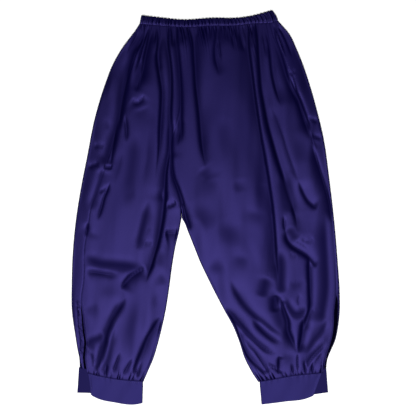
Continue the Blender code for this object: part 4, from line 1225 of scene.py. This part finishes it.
def thread_material():
    """Sewing thread: twisted, a little lighter than the cloth."""
    name = "sewing_thread"
    if name in bpy.data.materials:
        return bpy.data.materials[name]
    material, nodes, links, shader = new_material(name)
    shader.inputs["Base Color"].default_value = (*colours().thread, 1)
    shader.inputs["Roughness"].default_value = 0.5
    place = nodes.new("ShaderNodeTexCoord")
    twist = nodes.new("ShaderNodeTexWave")
    twist.inputs["Scale"].default_value = 900.0
    bump = bump_node(nodes, 0.4, 0.0001)
    links.new(place.outputs["Object"], twist.inputs["Vector"])
    links.new(twist.outputs["Fac"], bump.inputs["Height"])
    links.new(bump.outputs["Normal"], shader.inputs["Normal"])
    return material


def paper_material():
    """The pale surface under the garment, with a faint grain."""
    material, nodes, links, shader = new_material("pale_paper")
    shader.inputs["Base Color"].default_value = (*colours().paper, 1)
    shader.inputs["Roughness"].default_value = 0.9
    shader.inputs["Specular IOR Level"].default_value = 0.1
    place = nodes.new("ShaderNodeTexCoord")
    grain = nodes.new("ShaderNodeTexNoise")
    grain.inputs["Scale"].default_value = 400.0
    bump = bump_node(nodes, 0.1, 0.0002)
    links.new(place.outputs["Object"], grain.inputs["Vector"])
    links.new(grain.outputs["Fac"], bump.inputs["Height"])
    links.new(bump.outputs["Normal"], shader.inputs["Normal"])
    return material


# Stitches

# From one stitch to the next in stitch lengths, and how far a stitch's middle stands up in its own widths
STITCH_SPACING = 1.35
STITCH_RISE = 0.12


def stitch_shape():
    """Points and faces of one stitch: a short thread, thick in its middle and sunk at both ends."""
    leave_nothing_selected()
    bpy.ops.mesh.primitive_uv_sphere_add(segments=6, ring_count=5, radius=0.5)
    ball = bpy.context.object
    points = np.array([vertex.co[:] for vertex in ball.data.vertices])
    faces = [tuple(face.vertices) for face in ball.data.polygons]
    bpy.data.objects.remove(ball)
    return points[:, [2, 0, 1]], faces


def sew(name, rows):
    """A row of stitches for each line of points with their normals, joined into one piece."""
    shape, faces = stitch_shape()
    length = sizes().stitch_length
    width = sizes().stitch_width
    all_points = []
    all_faces = []
    for points, normals in rows:
        steps = np.linalg.norm(np.diff(points, axis=0), axis=1)
        travelled = np.concatenate([[0], np.cumsum(steps)])
        count = int(travelled[-1] // (length * STITCH_SPACING))
        centres = (np.arange(count) + 0.5) * travelled[-1] / count
        for centre in centres:
            ends = []
            for at in (centre - length / 2, centre + length / 2):
                ends.append(np.array([np.interp(at, travelled, points[:, axis]) for axis in range(3)]))
            normal = np.array([np.interp(centre, travelled, normals[:, axis]) for axis in range(3)])
            along = ends[1] - ends[0]
            along /= np.linalg.norm(along)
            beside = np.cross(normal, along)
            beside /= np.linalg.norm(beside)
            up = np.cross(along, beside)
            middle = (ends[0] + ends[1]) / 2 + up * width * STITCH_RISE
            placed = middle + np.outer(shape[:, 0] * length, along) + np.outer(shape[:, 1] * width, beside)
            placed = placed + np.outer(shape[:, 2] * width, up)
            start = len(all_points) * len(shape)
            all_faces.extend(tuple(index + start for index in face) for face in faces)
            all_points.append(placed)
    mesh = bpy.data.meshes.new(name)
    mesh.from_pydata(np.concatenate(all_points).tolist(), [], all_faces)
    mesh.materials.append(thread_material())
    thread = bpy.data.objects.new(name, mesh)
    bpy.context.scene.collection.objects.link(thread)
    leave_nothing_selected()
    thread.select_set(True)
    bpy.context.view_layer.objects.active = thread
    bpy.ops.object.shade_smooth()
    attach(thread, "root")


def seam_points(surface, u, v, u_span):
    """Points just on top of the cloth along a path in its own u and v, with their normals."""
    points = world(*surface(u, v))
    normals = surface_normal(surface, u, v, u_span)
    normals = np.where(normals[:, 2:3] < 0, -normals, normals)
    return points + normals * sizes().cloth_thickness / 2, normals


# Pieces

# Width and length of the cloth that shows, smoothed out, in metres. The right leg lies spread wider.
FRONT_CUT = {"left": (0.19, 0.89), "right": (0.31, 0.90)}
BACK_CUT = {"left": (0.25, 0.89), "right": (0.34, 0.90)}
CUFF_CUT = (0.30, 0.059)
BAND_CUT = (0.62, 0.025)
# Divisions of the cloth's turns and hidden layers, and down the waistband and the cuffs
INNER_TURN_COLUMNS = 14
OUTER_BEND_COLUMNS = 18
UNDERSIDE_COLUMNS = 38
INNER_RISE_COLUMNS = 10
BAND_BEND_COLUMNS = 14
BAND_BACK_COLUMNS = 120
BAND_ROWS = 22
CUFF_FRONT_COLUMNS = 150
CUFF_BEND_COLUMNS = 14
CUFF_BACK_COLUMNS = 80
CUFF_DIVISIONS = 40


def settle(piece, node):
    """Parents a sheet of cloth to the root and hides the solid that it stands for."""
    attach(piece, "root")
    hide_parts(node)


class TROUSERS_OT_front_panels(bpy.types.Operator):
    """Add the two front panels, gathered into the waistband and the cuffs"""

    bl_idname = "trousers.front_panels"
    bl_label = "Front panels"

    def execute(self, context):
        for name, leg in LEGS.items():
            stretches = ((1.0, sizes().front_columns - INNER_TURN_COLUMNS), (2.0, INNER_TURN_COLUMNS))
            piece = cloth_sheet("satin_front_" + name, leg.front, stretches, sizes().panel_rows,
                                FRONT_CUT[name], leg.side > 0, (shiny_side(), painted_shade_and_dull_side()), leg)
            settle(piece, "front_" + name)
        return {"FINISHED"}


class TROUSERS_OT_back_panels(bpy.types.Operator):
    """Add the two back panels, which come round the outer edges onto the front"""

    bl_idname = "trousers.back_panels"
    bl_label = "Back panels"

    def execute(self, context):
        for name, leg in LEGS.items():
            wrap = sizes().back_columns - OUTER_BEND_COLUMNS - UNDERSIDE_COLUMNS - INNER_RISE_COLUMNS
            stretches = ((1.0, wrap), (2.0, OUTER_BEND_COLUMNS), (3.0, UNDERSIDE_COLUMNS),
                         (4.0, INNER_RISE_COLUMNS))
            piece = cloth_sheet("satin_back_" + name, leg.back, stretches, sizes().panel_rows,
                                BACK_CUT[name], leg.side < 0, (shiny_side(), painted_shade_and_dull_side()), leg)
            settle(piece, "back_" + name)
        return {"FINISHED"}


class TROUSERS_OT_waistband(bpy.types.Operator):
    """Add the shirred casing of the waistband"""

    bl_idname = "trousers.waistband"
    bl_label = "Waistband"

    def execute(self, context):
        columns, to_u = stations((1.0, sizes().band_columns), (2.0, BAND_BEND_COLUMNS),
                                 (3.0, BAND_BACK_COLUMNS), (4.0, BAND_BEND_COLUMNS))
        piece, share, v = flat_grid("satin_waistband", columns, BAND_ROWS)
        u = to_u(share)
        outer, _ = band_face(u, v)
        if not np.isfinite(outer).all():
            raise RuntimeError("the waistband has points without a place")
        put_points(piece, outer)
        lay_uv(piece, share * BAND_CUT[0], v * BAND_CUT[1])
        for material in (shiny_side(), painted_shade_and_dull_side()):
            piece.data.materials.append(material)
        thicken(piece, sizes().cloth_thickness)
        settle(piece, "waistband")
        return {"FINISHED"}


class TROUSERS_OT_cuffs(bpy.types.Operator):
    """Add the two cuffs, straight strips that are open at the outer side"""

    bl_idname = "trousers.cuffs"
    bl_label = "Cuffs"

    def execute(self, context):
        for name, plan in CUFFS.items():
            stretches = ((1.0, CUFF_FRONT_COLUMNS), (2.0, CUFF_BEND_COLUMNS), (3.0, CUFF_BACK_COLUMNS))
            piece = cloth_sheet("satin_" + name, cuff_surface(plan), stretches, CUFF_DIVISIONS, CUFF_CUT,
                                plan["side"] > 0, (cuff_side(), cuff_inside()))
            settle(piece, name)
        return {"FINISHED"}


# Rows of stitches, in millimetres: from an edge, and drops where the pocket mouth and its bar start and end
HEM_INSET = 6.0
HEM_END_GAP = 3.0
POCKET_INSET = 7.5
POCKET_TOP = 58.0
POCKET_END = 140.0
BAR_END = 156.0
BAR_ROWS = (0.0, 0.9, 1.8)
# Rows of stitches as shares of the cuff's and the casing's own width and length
CUFF_INSET = 0.05
CUFF_ROW_ENDS = (0.03, 0.99)
CUFF_END_LINE = 0.025
CASING_LINE = 0.87
CASING_ROW_ENDS = (0.004, 0.996)
# Points along the rows
CASING_STEPS = 400
HEM_STEPS = 260
POCKET_STEPS = 120
BAR_STEPS = 40
CUFF_STEPS = 260
CUFF_END_STEPS = 80
# A row keeps clear of its panel's ends and far side by these shares
PANEL_ROW_ENDS = (0.01, 0.99)
PANEL_FAR_SIDE = 0.9


class TROUSERS_OT_stitches(bpy.types.Operator):
    """Sew the casing, the hems of the side openings, the pocket mouth and the edges of the cuffs"""

    bl_idname = "trousers.stitches"
    bl_label = "Stitches"

    def execute(self, context):
        along = np.linspace(*CASING_ROW_ENDS, CASING_STEPS)
        face, outward = band_face(along, np.full_like(along, CASING_LINE))
        sew("stitches_casing", [(face + outward * sizes().cloth_thickness / 2, outward)])
        for name, leg in LEGS.items():
            sew("stitches_opening_" + name, [hem_row(leg, False), hem_row(leg, True)])
        sew("stitches_pocket", pocket_rows(RIGHT_LEG))
        for name, plan in CUFFS.items():
            sew("stitches_" + name, cuff_rows(cuff_surface(plan)))
        return {"FINISHED"}


def beside_seam(leg, drops, inset, behind):
    """Points on one panel at a set distance from the side seam, at the given drops."""
    surface = leg.back if behind else leg.front
    top = smooth(BAND_BOTTOM, smooth(leg.seam, drops))
    bottom = smooth(leg.back_gather if behind else leg.gather, smooth(leg.seam, drops))
    v = np.clip((drops - top) / (bottom - top), *PANEL_ROW_ENDS)
    start = surface(np.zeros_like(v), v)[0]
    end = surface(np.ones_like(v), v)[0]
    u = np.minimum(inset / np.abs(end - start), PANEL_FAR_SIDE)
    span = (0.0, 4.0) if behind else (0.0, 2.0)
    return seam_points(surface, u, v, span)


def hem_row(leg, behind):
    """The stitches that hold one turned edge of the side opening."""
    gather = leg.back_gather if behind else leg.gather
    end = smooth(gather, leg.seam[-1][1]) - HEM_END_GAP
    drops = np.linspace(leg.opening[0][0], end, HEM_STEPS)
    return beside_seam(leg, drops, HEM_INSET, behind)


def pocket_rows(leg):
    """The topstitch along the pocket mouth and the close bar at its lower end."""
    rows = [beside_seam(leg, np.linspace(POCKET_TOP, POCKET_END, POCKET_STEPS), POCKET_INSET, True)]
    for shift in BAR_ROWS:
        bar = np.linspace(POCKET_END, BAR_END, BAR_STEPS)
        rows.append(beside_seam(leg, bar, POCKET_INSET + shift, True))
    return rows


def cuff_rows(surface):
    """The stitches along the cuff's top and bottom edges and its free end."""
    rows = []
    along = np.linspace(*CUFF_ROW_ENDS, CUFF_STEPS)
    for line in (CUFF_INSET, 1 - CUFF_INSET):
        rows.append(seam_points(surface, along, np.full_like(along, line), (0.0, 1.0)))
    down = np.linspace(CUFF_INSET, 1 - CUFF_INSET, CUFF_END_STEPS)
    rows.append(seam_points(surface, np.full_like(down, CUFF_END_LINE), down, (0.0, 1.0)))
    return rows


class TROUSERS_OT_stage(bpy.types.Operator):
    """Add the pale floor, the soft lights and the camera straight above"""

    bl_idname = "trousers.stage"
    bl_label = "Floor, light and camera"

    def execute(self, context):
        add_floor()
        add_lights()
        add_camera()
        return {"FINISHED"}


# The floor's side and its divisions, and how far it lies under the cloth, in metres
FLOOR_SIDE = 8.0
FLOOR_DIVISIONS = 8
FLOOR_DROP = 0.0001
# Strength of the white light from all round
ROOM_LIGHT = 0.05


def add_floor():
    """The pale surface that the garment lies on."""
    leave_nothing_selected()
    bpy.ops.mesh.primitive_grid_add(x_subdivisions=FLOOR_DIVISIONS, y_subdivisions=FLOOR_DIVISIONS,
                                    size=FLOOR_SIDE, location=(0, 0, -FLOOR_DROP))
    floor = bpy.context.object
    floor.name = "floor"
    floor.data.materials.append(paper_material())


# Lights: name, place in metres, size across, size down, power in watts
LIGHTS = (
    ("key_light", (-0.1, -0.95, 2.8), 2.05, 2.2, 151),
)


def add_lights():
    """A large soft lamp above, a little to the waist's other side, and faint light from all round."""
    for name, place, wide, deep, power in LIGHTS:
        bpy.ops.object.light_add(type="AREA", location=place)
        lamp = bpy.context.object
        lamp.name = name
        lamp.data.shape = "RECTANGLE"
        lamp.data.size = wide
        lamp.data.size_y = deep
        lamp.data.energy = power
        lamp.rotation_euler = (-Vector(place)).to_track_quat("-Z", "Y").to_euler()
    surroundings = bpy.context.scene.world or bpy.data.worlds.new("Studio")
    bpy.context.scene.world = surroundings
    surroundings.use_nodes = True
    background = surroundings.node_tree.nodes["Background"]
    background.inputs["Color"].default_value = (1.0, 1.0, 1.0, 1)
    background.inputs["Strength"].default_value = ROOM_LIGHT


# What the camera takes in, in metres, and its lens and sensor in millimetres
VIEW_WIDTH = 1.04
VIEW_CENTRE = (0.00575, -0.001)
LENS = 85.0
SENSOR = 36.0


def add_camera():
    """A camera straight above, which looks down as the photo does."""
    data = bpy.data.cameras.new("camera")
    data.lens = LENS
    data.sensor_width = SENSOR
    camera = bpy.data.objects.new("camera", data)
    bpy.context.scene.collection.objects.link(camera)
    camera.location = (VIEW_CENTRE[0], VIEW_CENTRE[1], VIEW_WIDTH * LENS / SENSOR)
    bpy.context.scene.camera = camera
    bpy.context.scene.view_settings.view_transform = "Standard"


class TROUSERS_PT_panel(bpy.types.Panel):
    """Lists the garment's pieces in the sidebar"""

    bl_label = "Gathered satin trousers"
    bl_space_type = "VIEW_3D"
    bl_region_type = "UI"
    bl_category = "Trousers"

    def draw(self, context):
        column = self.layout.column()
        for operator in PIECES:
            column.operator(operator.bl_idname)
        for group in (context.scene.trouser_sizes, context.scene.trouser_colours):
            for name in group.__annotations__:
                column.prop(group, name)


PIECES = (
    TROUSERS_OT_front_panels,
    TROUSERS_OT_back_panels,
    TROUSERS_OT_waistband,
    TROUSERS_OT_cuffs,
    TROUSERS_OT_stitches,
    TROUSERS_OT_stage,
)
CLASSES = (TrouserSizes, TrouserColours) + PIECES + (TROUSERS_PT_panel,)


def register():
    for each in CLASSES:
        bpy.utils.register_class(each)
    bpy.types.Scene.trouser_sizes = PointerProperty(type=TrouserSizes)
    bpy.types.Scene.trouser_colours = PointerProperty(type=TrouserColours)


def unregister():
    del bpy.types.Scene.trouser_colours
    del bpy.types.Scene.trouser_sizes
    for each in reversed(CLASSES):
        bpy.utils.unregister_class(each)


def main():
    register()
    bpy.ops.trousers.front_panels()
    bpy.ops.trousers.back_panels()
    bpy.ops.trousers.waistband()
    bpy.ops.trousers.cuffs()
    bpy.ops.trousers.stitches()
    bpy.ops.trousers.stage()


if __name__ == "__main__":
    main()
